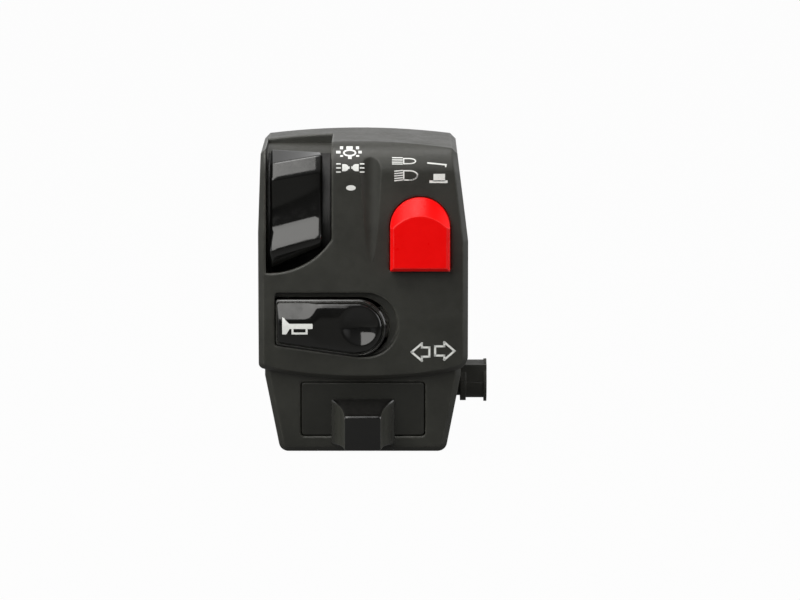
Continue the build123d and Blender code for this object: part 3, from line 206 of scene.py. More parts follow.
def add_bump(tree, shader, height, depth, normal=None):
    """Bump the shader's surface by a height, over a normal where one is given."""
    bump = tree.nodes.new("ShaderNodeBump")
    bump.inputs["Strength"].default_value = 1.0
    bump.inputs["Distance"].default_value = depth
    tree.links.new(height, bump.inputs["Height"])
    if normal is not None:
        tree.links.new(normal, bump.inputs["Normal"])
    tree.links.new(bump.outputs["Normal"], shader.inputs["Normal"])


def plastic(name, color, rough, level, edge=0.0004, grain=2200, depth=0.00002, vary=0.14,
            edge_wear_and_highlight=0.35, wear_and_highlight_color=(0.16, 0.16, 0.15), dust=0.04, satin_lit_flanks=None):
    """A moulded plastic: mottled colour, fine grain, dust on top, and edges lightened partly as
    rubbed wear and partly as a painted highlight.

    The satin lit flanks, where they are given, are the roughness of satin sides to
    left and right, with a lighter colour there that is painted light from the sides.
    """
    material, tree, shader = new_material(name)
    broad = noise(tree, MOTTLE, 3)
    fine = noise(tree, FINE_MOTTLE, 5)
    normal, on_edge = soft_edges(tree, edge)

    shade = arith(tree, "MULTIPLY", spread(tree, broad, 1 - vary, 1 + vary),
                  spread(tree, fine, 1 - vary / 2, 1 + vary / 2))
    tint = tree.nodes.new("ShaderNodeVectorMath")
    tint.operation = "SCALE"
    tint.inputs[0].default_value = color
    tree.links.new(shade, tint.inputs["Scale"])
    body = tint.outputs["Vector"]
    gloss = arith(tree, "ADD", spread(tree, broad, rough - BROAD_SWING, rough + BROAD_SWING),
                  spread(tree, fine, -FINE_SWING, FINE_SWING))
    if satin_lit_flanks:
        painted_flank_light, flank_rough = satin_lit_flanks
        # Surfaces that face left or right get a satin roughness and a lighter colour, painted
        # light from the sides
        satin_and_painted_side_light = sideways(tree)
        body = blend_colors(tree, satin_and_painted_side_light, body, painted_flank_light)
        gloss = arith(tree, "ADD", gloss, arith(tree, "MULTIPLY", satin_and_painted_side_light, flank_rough - rough))

    # Edges are lightened in the colour, partly as rubbed wear and partly as a painted highlight
    # along them
    rubbed_and_lit_edge = spread(tree, noise(tree, EDGE_WEAR_AND_HIGHLIGHT_SPOTS, 4), LEAST_EDGE_WEAR_AND_HIGHLIGHT * edge_wear_and_highlight, edge_wear_and_highlight)
    body = blend_colors(tree, arith(tree, "MULTIPLY", on_edge, rubbed_and_lit_edge), body, wear_and_highlight_color)
    settled = spread(tree, noise(tree, DUST_SPECKS, 6), LEAST_DUST * dust, dust)
    body = blend_colors(tree, arith(tree, "MULTIPLY", upward(tree), settled), body, DUST_COLOR)
    tree.links.new(body, shader.inputs["Base Color"])

    polish = arith(tree, "MULTIPLY", on_edge, EDGE_POLISH * rough)
    tree.links.new(arith(tree, "SUBTRACT", gloss, polish), shader.inputs["Roughness"])
    shader.inputs["Specular IOR Level"].default_value = level
    add_bump(tree, shader, noise(tree, grain, 3, 0.6), depth, normal)
    return material


def metal(name, color, rough, brushed, edge=0.00015, depth=0.000006):
    """A plated or bare metal with brushing, tarnish and fine scratches."""
    material, tree, shader = new_material(name)
    broad = noise(tree, TARNISH, 4)
    scratch = noise(tree, BRUSHING, 2, 0.4, brushed)
    normal, _ = soft_edges(tree, edge)

    tarnish = spread(tree, broad, 0.0, 0.55, 0.35, 0.75)
    tarnished = [TARNISHED * part for part in color]
    tree.links.new(blend_colors(tree, tarnish, color, tarnished), shader.inputs["Base Color"])
    shader.inputs["Metallic"].default_value = 1.0
    gloss = arith(tree, "ADD", spread(tree, scratch, rough - 0.08, rough + 0.10),
                  spread(tree, broad, -0.03, 0.08))
    tree.links.new(gloss, shader.inputs["Roughness"])
    add_bump(tree, shader, scratch, depth, normal)
    return material


def ink(name, color, level=0.35, depth=0.00001):
    """Printed symbol paint: slightly uneven white with a rubbed look."""
    material, tree, shader = new_material(name)
    spotted = spread(tree, noise(tree, INK_SPOTS, 5), 0.0, 0.35, 0.45, 0.8)
    thin = [THIN_INK * part for part in color]
    tree.links.new(blend_colors(tree, spotted, color, thin), shader.inputs["Base Color"])
    sheen = spread(tree, noise(tree, INK_SHEEN, 3), 0.45, 0.7)
    tree.links.new(sheen, shader.inputs["Roughness"])
    shader.inputs["Specular IOR Level"].default_value = level
    add_bump(tree, shader, noise(tree, INK_GRAIN, 3), depth)
    return material


# Materials, by their slots
# The edge wear of each plastic also paints a highlight along its edges
materials = {
    "housing": plastic(
        "housing_plastic", (0.0200, 0.0203, 0.0165), rough=0.44, level=0.42, edge=0.0010,
        grain=2600, depth=0.000022, edge_wear_and_highlight=0.5, wear_and_highlight_color=(0.17, 0.17, 0.15)),
    "gloss_black": plastic(
        "gloss_black_plastic", (0.0035, 0.0035, 0.0032), rough=0.10, level=0.5, edge=0.0004,
        grain=500, depth=0.000003, edge_wear_and_highlight=0.75, wear_and_highlight_color=(0.20, 0.20, 0.18), dust=0.015),
    "panel": plastic(
        "panel_plastic", (0.0125, 0.0127, 0.0103), rough=0.40, level=0.38, grain=3000,
        depth=0.000016),
    "red_plastic": plastic(
        "red_plastic", (0.80, 0.0006, 0.0006), rough=0.32, level=0.14, edge=0.0006,
        grain=1500, depth=0.000006, vary=0.03, edge_wear_and_highlight=0.40, wear_and_highlight_color=(0.80, 0.26, 0.24), dust=0.001),
    "bush": plastic(
        "bush_rubber", (0.040, 0.040, 0.034), rough=0.60, level=0.32, grain=1800,
        depth=0.00002, dust=0.08),
    "inner_plastic": plastic(
        "natural_plastic", (0.32, 0.31, 0.28), rough=0.45, level=0.4, edge_wear_and_highlight=0.1,
        wear_and_highlight_color=(0.42, 0.41, 0.38)),
    "contact_plate": plastic(
        "laminate", (0.28, 0.14, 0.05), rough=0.5, level=0.4, edge_wear_and_highlight=0.2,
        wear_and_highlight_color=(0.45, 0.28, 0.13)),
    "contact": metal("contact_brass", (0.75, 0.56, 0.25), rough=0.30, brushed=(1, 1, 8)),
    "steel": metal("zinc_steel", (0.55, 0.55, 0.56), rough=0.34, brushed=(1, 1, 6)),
    "symbols": ink("symbol_ink", (0.70, 0.71, 0.69)),
}
for node in frame["nodes"].values():
    for place in node.material_slots:
        place.material = materials[place.material.name]


# Outlines and smooth mouldings

def smoothstep(low, high, value):
    """Ease from 0 to 1 while a value goes from low to high."""
    share = min(1.0, max(0.0, (value - low) / (high - low)))
    return share * share * (3 - 2 * share)


def around(centre, radius, angle):
    """The point of a circle at an angle."""
    x, y = centre
    return Vector((x + radius * math.cos(angle), y + radius * math.sin(angle)))


def box_shape(left, right, foot, top):
    """The four corners of an upright rectangle."""
    return [(left, foot), (right, foot), (right, top), (left, top)]


def rounded(corners, steps=6, most=0.46, beside=0.04):
    """A closed run of 2D points, from (point, radius) corners with each corner rounded.

    An arc takes up at most a share of the sides next to it, and a point beside each end
    of the arc keeps the straight parts flat in the light.
    """
    run = []
    for k, (point, radius) in enumerate(corners):
        point = Vector(point)
        before = Vector(corners[k - 1][0]) - point
        after = Vector(corners[(k + 1) % len(corners)][0]) - point
        half = before.angle(after) / 2
        back = min(radius / math.tan(half), most * before.length, most * after.length)
        inward = (before.normalized() + after.normalized()).normalized()
        centre = point + inward * back / math.cos(half)
        first = point + before.normalized() * back - centre
        last = point + after.normalized() * back - centre
        turn = first.angle(last)
        run.append(centre + first + before * beside)
        for j in range(steps + 1):
            share = j / steps
            run.append(centre + (first * math.sin((1 - share) * turn)
                                 + last * math.sin(share * turn)) / math.sin(turn))
        run.append(centre + last + after * beside)
    return run


def drawn_in(run, amount):
    """A closed run of 2D points moved inwards by an amount."""
    pairs = zip(run, run[1:] + run[:1])
    area = sum(here.x * there.y - there.x * here.y for here, there in pairs)
    side = math.copysign(amount, area)
    inner = []
    for k, point in enumerate(run):
        along = (run[(k + 1) % len(run)] - run[k - 1]).normalized()
        inner.append(point + Vector((-along.y, along.x)) * side)
    return inner


def add_rings(mesh, rings):
    """Skin rings of points in mm, and cap both ends."""
    rows = [[mesh.verts.new(Vector(point) * MM) for point in ring] for ring in rings]
    for row, following in zip(rows, rows[1:]):
        for k in range(len(row)):
            j = (k + 1) % len(row)
            mesh.faces.new((row[k], row[j], following[j], following[k]))
    mesh.faces.new(rows[0])
    mesh.faces.new(rows[-1])


def new_piece(name, mesh, slot):
    """Turn a mesh into an object of the scene, in the material of a slot."""
    data = bpy.data.meshes.new(name)
    mesh.to_mesh(data)
    mesh.free()
    data.materials.append(materials[slot])
    piece = bpy.data.objects.new(name, data)
    bpy.context.scene.collection.objects.link(piece)
    return piece


def moulded(name, mesh, body, node, slot, merge=1e-7, crease=math.radians(40)):
    """Turn a mesh into a piece in place of a CAD node, smooth but for its real edges."""
    bmesh.ops.remove_doubles(mesh, verts=mesh.verts, dist=merge)
    bmesh.ops.recalc_face_normals(mesh, faces=mesh.faces)
    for face in mesh.faces:
        face.smooth = True
    for edge in mesh.edges:
        edge.smooth = edge.calc_face_angle(0) < crease
    piece = new_piece(name, mesh, slot)
    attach(piece, body)
    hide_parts(node)
    return piece


# Lights lever: two rounded finger ridges on the curved skirt

# Each corner has its (y, z) at the left end, its shift to the right end and its rounding
lever_corners = [
    ((-13.1, 21.3), (-3.4, -0.6), 0.8),
    ((-22.6, 18.2), (1.8, 2.4), 0.9),
    ((-25.6, 14.2), (1.8, 2.4), 1.8),
    ((-24.7, 6.4), (0.8, 3.8), 40.0),
    ((-25.5, 0.4), (0.8, 3.8), 2.5),
    ((-29.8, -5.1), (1.3, 3.6), 2.2),
    ((-25.9, -10.2), (-0.7, 6.5), 1.6),
]
lever_left, lever_right, lever_edge = -25.0, -10.9, 0.9
lever_width = lever_right - lever_left
edge_steps, middle_steps = 5, 12

# The ridges are cut off by a seat inside the skirt, both ends of it a small angle lower
skirt_middle = 22.6
seat_top_drop, seat_foot_drop = 0.03, 0.08
seat_steps, seat_corner = 8, 0.02

# Sectors about the bar: left, right, inner and outer radius, then first and last degree
skirt_sector = (-25.7, -8.7, 21.8, 23.4, -34, 59)
lug_sector = (-20.4, -15.6, 19.2, skirt_middle, 6, 18)


def lever_section(share):
    """The lever's closed section at a share of its width, cut off along the skirt."""
    front = [((y + dy * share, z + dz * share), radius)
             for (y, z), (dy, dz), radius in lever_corners]
    (top_y, top_z), (foot_y, foot_z) = front[0][0], front[-1][0]
    top = math.atan2(top_z, -top_y) - seat_top_drop
    foot = math.atan2(foot_z, -foot_y) - seat_foot_drop
    angles = [foot + (top - foot) * k / seat_steps for k in range(seat_steps + 1)]
    seat = [((-skirt_middle * math.cos(angle), skirt_middle * math.sin(angle)), seat_corner)
            for angle in angles]
    return rounded(front + seat)


def lever_stations():
    """The places along the lever's width as (run, inset), close together at its round ends."""
    turns = [QUARTER * k / edge_steps for k in range(edge_steps + 1)]
    left = [(lever_edge * (1 - math.cos(turn)), lever_edge * (1 - math.sin(turn)))
            for turn in turns]
    between = [(lever_edge + (lever_width - 2 * lever_edge) * k / middle_steps, 0.0)
               for k in range(1, middle_steps)]
    right = [(lever_width - run, inset) for run, inset in reversed(left)]
    return left + between + right


def ring_sector(left, right, inner, outer, start, end, steps=40):
    """Two rings of points for a slab that is curved about the bar, as (x, y, z)."""
    angles = [math.radians(start + (end - start) * k / steps) for k in range(steps + 1)]
    loop = [(-outer * math.cos(angle), outer * math.sin(angle)) for angle in angles]
    loop += [(-inner * math.cos(angle), inner * math.sin(angle)) for angle in reversed(angles)]
    return [[(x, y, z) for y, z in loop] for x in (left, right)]


lever_mesh = bmesh.new()
lever_rings = []
for run, inset in lever_stations():
    loop = drawn_in(lever_section(run / lever_width), inset)
    lever_rings.append([(lever_left + run, point.x, point.y) for point in loop])
add_rings(lever_mesh, lever_rings)
moulded("lights_paddle", lever_mesh, "lights", "light_lever", "gloss_black")

skirt_mesh = bmesh.new()
for sector in (skirt_sector, lug_sector):
    add_rings(skirt_mesh, ring_sector(*sector))
skirt = moulded("lights_skirt", skirt_mesh, "lights", "light_lever", "gloss_black")
skirt.data.materials[0] = plastic(
    "skirt_plastic", (0.006, 0.006, 0.006), rough=0.42, level=0.25)


# Horn key: a rim, then a crown that rises from it, with a thumb dish at the right
horn_left, horn_right, horn_top, horn_foot = -23.5, 6.35, -18.1, -33.6
horn_middle = (horn_top + horn_foot) / 2
horn_taper = math.radians(8)
nose_radius = (horn_top - horn_foot) / 2
nose_x = horn_right - nose_radius
nose_centre = (nose_x, horn_middle)
# The left end moves in by half as much as the other sides
left_share = 0.5
key_corner, key_back = 0.8, 25.2
nose_steps, long_steps, left_steps = 40, 30, 14

# The rim has a ridge along its middle that is steep on both sides
rim_depth, rim_width, rim_ridge, rim_slope = 28.4, 0.85, 0.45, 0.95

# The crown's side is a quarter round, whose reach widens from the left to the dish
crown_foot, crown_height, crown_lowest, crown_lift = 28.0, 1.95, 0.05, 1.2
side_height, side_reach, side_widening = 2.3, 1.5, 1.9
widening_from, widening_to = -4, 5

# The crown is bowed more tightly at the left end than along its middle
bow_left, bow_middle = 1 / 13, 1 / 45
bow_from, bow_to = -15.5, -11.5

# The dish is hollow up to its lip, which rolls over into the crown
dish_x, dish_z, dish_radius, dish_depth = -0.5, -25.0, 5.3, 1.5
dish_lip, lip_width, lip_curve = 0.9, 0.211, 4.265

# Rings from the edge inwards, at their insets, then shares of the way to the middle line
rim_insets = [0.06, 0.13, 0.22, 0.33, 0.45, 0.6, 0.72, 0.84]
crown_insets = [0.9, 1.0, 1.2, 1.4, 1.6, 1.85, 2.1, 2.4, 2.7, 3.0, 3.35, 3.7, 4.1, 4.5, 4.9, 5.3]
core_inset = crown_insets[-1]
core_shares = (0.25, 0.5, 0.75, 0.999)
spine_from_left, spine_fall = 4.5, 0.06

# Barrel on the hinge pin, with the lug that joins it to the key
pin_x, pin_depth, pin_height = -21.5, 23.6, -24.3
barrel_half, barrel_radius, barrel_steps = 3.8, 1.55, 32
lug_depth = 25.7


def key_inset(x, z):
    """How far a point of the key lies inside its outline."""
    lower = (nose_radius + (x - nose_x) * math.sin(horn_taper)
             + (z - horn_middle) * math.cos(horn_taper))
    inset = min(horn_top - z, (x - horn_left) / left_share, lower)
    if x > nose_x:
        inset = min(inset, nose_radius - math.hypot(x - nose_x, z - horn_middle))
    return inset


def thumb_dish(x, z):
    """How deep the thumb dish is at a point."""
    away = math.hypot(x - dish_x, z - dish_z) / dish_radius
    if away < dish_lip:
        hollow = 1 - away ** 2
    else:
        past = min(away - dish_lip, lip_width)
        hollow = 1 - dish_lip ** 2 - 2 * dish_lip * past + lip_curve * past ** 2
    return dish_depth * hollow


def key_depth(x, z, inset):
    """How far the key's surface stands in front of the bar."""
    if inset <= rim_width:
        outside, inside = max(0.0, rim_ridge - inset), max(0.0, inset - rim_ridge)
        return rim_depth - outside * rim_slope - inside
    reach = side_reach + side_widening * smoothstep(widening_from, widening_to, x)
    rise = min(1.0, (inset - rim_width) / reach)
    side = side_height * math.sqrt(max(0.0, 1 - (1 - rise) ** 2)) + 1e-4
    bow = bow_left - (bow_left - bow_middle) * smoothstep(bow_from, bow_to, x)
    crown = max(crown_lowest, crown_height - (z - horn_middle) ** 2 * bow / 2)
    # The lower of the crown and its side, with a smooth change from one to the other
    height = (crown ** -4 + side ** -4) ** -0.25
    return crown_foot + height * crown_lift - thumb_dish(x, z)


def corner_arc(centre, start, steps=6):
    """The points between the ends of one of the key's rounded corners."""
    return [around(centre, key_corner, start + QUARTER * k / steps) for k in range(1, steps)]


def key_ring(inset):
    """The key's outline in (x, z), drawn in by an inset, always with as many points."""
    radius = nose_radius - inset
    left = horn_left + left_share * inset
    tangent = -QUARTER - horn_taper
    foot_end = around(nose_centre, radius, tangent)
    foot_left = Vector((left, foot_end.y + (foot_end.x - left) * math.tan(horn_taper)))
    top_left = Vector((left, horn_middle + radius))
    top_end = Vector((nose_x, horn_middle + radius))
    over, up = Vector((key_corner, 0)), Vector((0, key_corner))
    ring = [around(nose_centre, radius, tangent + (QUARTER - tangent) * k / nose_steps)
            for k in range(nose_steps + 1)]
    ring += [top_end.lerp(top_left + over, k / long_steps) for k in range(1, long_steps + 1)]
    ring += corner_arc(top_left + over - up, QUARTER)
    ring += [(top_left - up).lerp(foot_left + up, k / left_steps)
             for k in range(left_steps + 1)]
    ring += corner_arc(foot_left + over + up, 2 * QUARTER)
    ring += [(foot_left + over).lerp(foot_end, k / long_steps) for k in range(long_steps)]
    return ring


def core_ring(share):
    """The innermost outline, moved to the key's middle line by a share of the way."""
    ring = []
    for point in key_ring(core_inset):
        x = min(max(point.x, horn_left + spine_from_left), nose_x)
        spine = Vector((x, horn_middle - spine_fall * (x - nose_x)))
        ring.append(point.lerp(spine, share))
    return ring


key_mesh = bmesh.new()
key_rings = [[(point.x, -depth, point.y) for point in key_ring(0)]
             for depth in (key_back, crown_foot)]
top_rings = [(key_ring(inset), inset) for inset in rim_insets + crown_insets]
top_rings += [(core_ring(share), core_inset) for share in core_shares]
for ring, inset in top_rings:
    key_rings.append([(point.x, -key_depth(point.x, point.y, inset), point.y)
                      for point in ring])
add_rings(key_mesh, key_rings)
barrel = [around((pin_x, -pin_depth), barrel_radius, TURN * k / barrel_steps)
          for k in range(barrel_steps)]
lug = box_shape(pin_x - barrel_radius, pin_x + barrel_radius, -pin_depth, -lug_depth)
for loop in (barrel, lug):
    add_rings(key_mesh, [[(x, y, pin_height + side) for x, y in loop]
                         for side in (-barrel_half, barrel_half)])
moulded("horn_key", key_mesh, "horn", "horn_button", "gloss_black")


# Turn signal knob: flared flanks that rise to a flat crest, over the tilted lower face
panel_depth, panel_lean, panel_top, panel_foot = 24.6, 3.0, -28.0, -60.9
panel_height = panel_top - panel_foot
knob_middle = -48.9
knob_tilt = math.atan2(panel_lean, panel_height)
knob_back = -panel_depth + panel_lean * (panel_top - knob_middle) / panel_height
knob_origin = Vector((0, knob_back, knob_middle))
knob_height, knob_gap, knob_edge, knob_corner = 10.6, 0.35, 0.55, 0.7
side_steps, knob_edge_steps, crest_inset = 18, 6, 0.3
# Sections lie closer together at the flared foot
side_crowding = 1.4

# Each side has its place at the crest, how it spreads to the panel and how it flares there
crest_half, half_spread, half_flare = 5.0, 1.1, 2.55
crest_top, top_spread, top_flare = 0.6, 1.7, 0.7
crest_foot, foot_spread = -9.0, 0.9

# Stem through the bezel's slot, with its ends measured from the panel
stem_half, stem_rise, stem_back, stem_front = 2.2, 1.5, -3.55, 0.5


def over_panel(x, up, rise):
    """A point at (x, up) on the tilted panel, raised from it, in mm."""
    cosine, sine = math.cos(knob_tilt), math.sin(knob_tilt)
    return knob_origin + Vector((x, -sine * up - cosine * rise, cosine * up - sine * rise))


def knob_section(share, inset=0.0):
    """The knob's section in (x, up) at a share of its height, drawn in by an inset."""
    fall = 1 - share
    half = crest_half + half_spread * fall + half_flare * fall ** 4 - inset
    top = crest_top + top_spread * fall + top_flare * fall ** 5 - inset
    foot = crest_foot - foot_spread * fall + inset
    return rounded([(corner, knob_corner) for corner in box_shape(-half, half, foot, top)])


knob_sections = []
for k in range(side_steps + 1):
    share = (k / side_steps) ** side_crowding * (1 - knob_edge / (knob_height - knob_gap))
    rise = knob_gap + (knob_height - knob_gap) * share
    knob_sections.append((knob_section(share), rise))
for k in range(1, knob_edge_steps + 1):
    angle = QUARTER * k / knob_edge_steps
    rise = knob_height - knob_edge * (1 - math.sin(angle))
    knob_sections.append((knob_section(1, knob_edge * (1 - math.cos(angle))), rise))
knob_sections.append((knob_section(1, knob_edge + crest_inset), knob_height))

knob_mesh = bmesh.new()
add_rings(knob_mesh, [[over_panel(point.x, point.y, rise) for point in section]
                      for section, rise in knob_sections])
stem = box_shape(-stem_half, stem_half, -stem_rise, stem_rise)
add_rings(knob_mesh, [[over_panel(x, up, rise) for x, up in stem]
                      for rise in (stem_back, stem_front)])
knob = moulded("turn_signal_knob", knob_mesh, "turn", "turn_knob", "gloss_black")
# The knob's flanks get a much lighter colour than its crest, painted light from the sides
knob.data.materials[0] = plastic(
    "knob_plastic", (0.003, 0.003, 0.0028), rough=0.10, level=0.5, edge=0.0004,
    grain=500, depth=0.000003, edge_wear_and_highlight=0.6, dust=0.015, satin_lit_flanks=((0.040, 0.0405, 0.034), 0.40))


# Printed symbols, drawn in mm on the upright picture and set on the surface behind it
face_depth, face_low, face_high = 28.0, -50.0, 24.15
arch_foot, arch_radius = 16.2, 8.0
crease_height, crease_run = -23.5, 17.8
paint_depth, paint_step, paint_longest = 0.03, 0.25, 0.7


def face_depth_at(x, height):
    """How far the rider face stands in front of the bar at a height, in mm."""
    if height > arch_foot:
        rounding = math.sqrt(max(0.0, arch_radius ** 2 - (height - arch_foot) ** 2))
        return face_depth - arch_radius + rounding
    if height > crease_height:
        return face_depth
    return face_depth - (crease_height - height) / crease_run


def key_depth_at(x, height):
    """How far the horn key stands in front of the bar at a point, in mm."""
    return key_depth(x, height, key_inset(x, height))


def shown_at(x, rise, low, high, depth_at, halvings=40):
    """The point of a surface that shows at (x, rise), found by halving low..high."""
    for _ in range(halvings):
        height = (low + high) / 2
        if height * math.cos(TILT) - depth_at(x, height) * math.sin(TILT) < rise:
            low = height
        else:
            high = height
    return Vector((x, -depth_at(x, low), low))


def on_face(x, rise):
    """The point of the rider face that shows at (x, rise)."""
    return shown_at(x, rise, face_low, face_high, face_depth_at)


def on_key(x, rise):
    """The point of the horn key that shows at (x, rise)."""
    return shown_at(x, rise, horn_foot, horn_top, key_depth_at)


def printed(name, shapes, body, place, divisions=2):
    """One flat printed symbol: polygons in mm, set on a surface by the place function."""
    mesh = bmesh.new()
    for shape in shapes:
        # Long sides are divided so that the paint follows the curved face
        ring = []
        for (x0, z0), (x1, z1) in zip(shape, shape[1:] + shape[:1]):
            parts = max(1, int(math.hypot(x1 - x0, z1 - z0) / paint_step))
            ring += [(x0 + (x1 - x0) * k / parts, z0 + (z1 - z0) * k / parts)
                     for k in range(parts)]
        face = mesh.faces.new([mesh.verts.new((x, 0, z)) for x, z in ring])
        bmesh.ops.triangulate(mesh, faces=[face])
    for _ in range(divisions):
        long_edges = [edge for edge in mesh.edges if edge.calc_length() > paint_longest]
        bmesh.ops.subdivide_edges(mesh, edges=long_edges, cuts=1)
        bmesh.ops.triangulate(mesh, faces=mesh.faces)
    for vert in mesh.verts:
        vert.co = (place(vert.co.x, vert.co.z) + Vector((0, -paint_depth, 0))) * MM
    bmesh.ops.recalc_face_normals(mesh, faces=mesh.faces)
    piece = new_piece(name, mesh, "symbols")
    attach(piece, body)


def stroke(points, width, closed=False):
    """Quads along a line, each a little longer than its run so that the joints are full."""
    shapes = []
    pairs = zip(points, points[1:] + (points[:1] if closed else []))
    for (x0, z0), (x1, z1) in pairs:
        run = math.hypot(x1 - x0, z1 - z0)
        on, up = (x1 - x0) / run * width / 2, (z1 - z0) / run * width / 2
        shapes.append([(x0 - on - up, z0 - up + on), (x0 - on + up, z0 - up - on),
                       (x1 + on + up, z1 + up - on), (x1 + on - up, z1 + up + on)])
    return shapes


def oval(x, z, half_width, half_height, count=20):
    """The outline of an oval about (x, z)."""
    angles = [TURN * k / count for k in range(count)]
    return [(x + half_width * math.cos(angle), z + half_height * math.sin(angle))
            for angle in angles]


def lamp(left, right, foot, top, width, straight=0.45):
    """A lamp outline: flat on the left and round on the right, past its straight share."""
    middle = (foot + top) / 2
    half = (top - foot) / 2
    bend = left + straight * (right - left)
    angles = [math.radians(degree) for degree in range(-90, 91, 20)]
    arc = [(bend + (right - bend) * math.cos(angle), middle + half * math.sin(angle))
           for angle in angles]
    return stroke([(left, foot)] + arc + [(left, top)], width, closed=True)


def arrow(tip, back, neck, middle, half=1.25, wing=2.35, width=0.55):
    """A block arrow's outline, from its tip to its back."""
    return stroke([(tip, middle), (neck, middle + wing), (neck, middle + half),
                   (back, middle + half), (back, middle - half), (neck, middle - half),
                   (neck, middle - wing)], width, closed=True)


# Head lights: a sun of a ring and rays, each ray with its middle and half its sizes
sun = stroke(oval(-3.45, 17.7, 1.55, 0.78), 0.42, closed=True)
sun_rays = [
    (-3.5, 19.1, 0.85, 0.42), (-3.4, 16.4, 0.5, 0.36), (-6.5, 17.9, 0.58, 0.36),
    (-0.65, 17.9, 0.45, 0.36), (-5.65, 19.1, 0.42, 0.40), (-1.35, 19.1, 0.42, 0.40),
    (-5.6, 16.85, 0.40, 0.24), (-1.3, 16.85, 0.42, 0.24),
]
for x, z, half_width, half_height in sun_rays:
    sun.append(box_shape(x - half_width, x + half_width, z - half_height, z + half_height))
printed("symbol_head_lights", sun, "housing", on_face)

# Parking lights: two lamps back to back, each with three rays
glass = [(-0.85, 12.72), (0.1, 12.72), (0.62, 13.0), (0.85, 13.45), (0.85, 13.9),
         (0.62, 14.35), (0.1, 14.63), (-0.85, 14.63)]
nub = box_shape(0.8, 1.15, 13.35, 14.0)
ray_half, ray_thick = 0.62, 0.17
parking = []
for side, lamp_x, ray_x in ((-1, -4.6, -6.45), (1, -1.85, -0.1)):
    parking += [[(lamp_x - side * x, z) for x, z in shape] for shape in (glass, nub)]
    for z in (14.7, 13.6, 12.5):
        ray = box_shape(ray_x - ray_half, ray_x + ray_half, z - ray_thick, z + ray_thick)
        parking.append(ray)
printed("symbol_parking_lights", parking, "housing", on_face)

# Lights off: a filled dot
printed("symbol_off", [oval(-3.1, 8.25, 1.3, 0.72, 24)], "housing", on_face)

# High and low beam: a lamp with level rays, and one with falling rays
high_beam = lamp(11.1, 14.3, 14.75, 16.15, 0.3)
for z in (16.35, 15.75, 15.15, 14.65):
    high_beam += stroke([(8.1, z + 0.02), (10.7, z)], 0.28)
printed("symbol_high_beam", high_beam, "housing", on_face)
low_beam = lamp(11.1, 14.8, 10.35, 12.85, 0.34)
for z in (12.85, 12.2, 11.55, 10.9, 10.3):
    low_beam += stroke([(8.7, z - 0.12), (10.75, z + 0.08)], 0.30)
printed("symbol_low_beam", low_beam, "housing", on_face)

# Button in: a line with its end turned down. Button out: a block on its base.
button_in = stroke([(17.6, 14.95), (22.5, 14.45)], 0.4)
button_in += stroke([(22.3, 14.4), (22.4, 14.0)], 0.35)
printed("symbol_button_in", button_in, "housing", on_face)
button_out = [box_shape(19.1, 22.2, 10.0, 12.0), box_shape(18.0, 22.9, 9.55, 10.25)]
printed("symbol_button_out", button_out, "housing", on_face)

# Horn: its bell to the left, the tube and the bulb's loop under it
bell = [(-21.7, -26.6), (-21.2, -26.75), (-20.6, -27.6), (-19.7, -28.4), (-19.7, -29.8),
        (-20.4, -30.0), (-20.55, -31.2), (-21.7, -31.2)]
tube = box_shape(-19.7, -13.5, -29.75, -28.35)
bulb = stroke([(-18.9, -29.6), (-18.9, -30.95), (-15.1, -30.95), (-15.1, -29.6)], 0.55)
printed("symbol_horn", [bell, tube] + bulb, "horn", on_key)

# Turn signals: an arrow to each side
printed("symbol_turn_left", arrow(13.25, 18.05, 16.0, -36.0), "housing", on_face)
printed("symbol_turn_right", arrow(24.85, 19.6, 22.1, -35.7), "housing", on_face)


# Closing screws: pan heads with a cross recess, seated in the wells of the far shell
screw_places = ((8.0, 16.6), (-17.8, -54.4), (17.8, -54.4))
# Round rings from the shank's tip to the head: depth behind the bar's middle, and radius
screw_rounds = ((-9.0, 1.7), (-8.6, 1.95), (8.0, 1.95), (8.02, 3.2), (8.2, 3.4), (9.3, 3.4),
                (9.75, 3.2), (10.1, 2.8), (10.3, 2.3))
# Rings of the recess, at its mouth and its floor: depth, and scale of the cross
recess_crosses = ((10.35, 1.0), (9.1, 0.62))
cross_length, cross_half = 1.75, 0.42
past_corner, past_middle = 0.15, 0.1


def quarter_angles():
    """Angles through a quarter turn that meet the corners of the cross."""
    corner, eighth = math.atan2(cross_half, cross_length), QUARTER / 2
    first = [0, corner / 2, corner, corner + past_corner,
             (corner + eighth) / 2 + past_middle, eighth]
    return first + [QUARTER - angle for angle in first[-2:0:-1]]


def cross_reach(angle, scale):
    """How far the cross reaches from its middle, at an angle of its first quarter."""
    length, half = cross_length * scale, cross_half * scale
    cosine, sine = abs(math.cos(angle)) + 1e-9, abs(math.sin(angle)) + 1e-9
    return max(min(length / cosine, half / sine), min(half / cosine, length / sine))


def screw_ring(reaches):
    """A ring of (x, z) points, from the reaches at the angles of a quarter turn."""
    return [around((0, 0), reach, angle + quarter * QUARTER)
            for quarter in range(4) for angle, reach in zip(screw_angles, reaches)]


screw_angles = quarter_angles()
screw_rings = [(depth, screw_ring([radius] * len(screw_angles)))
               for depth, radius in screw_rounds]
screw_rings += [(depth, screw_ring([cross_reach(angle, scale) for angle in screw_angles]))
                for depth, scale in recess_crosses]
screw_mesh = bmesh.new()
for screw_x, screw_z in screw_places:
    add_rings(screw_mesh, [[(screw_x + x, depth, screw_z + z) for x, z in ring]
                           for depth, ring in screw_rings])
moulded("closing_screws", screw_mesh, "housing", "housing_screws", "steel")


# Return springs

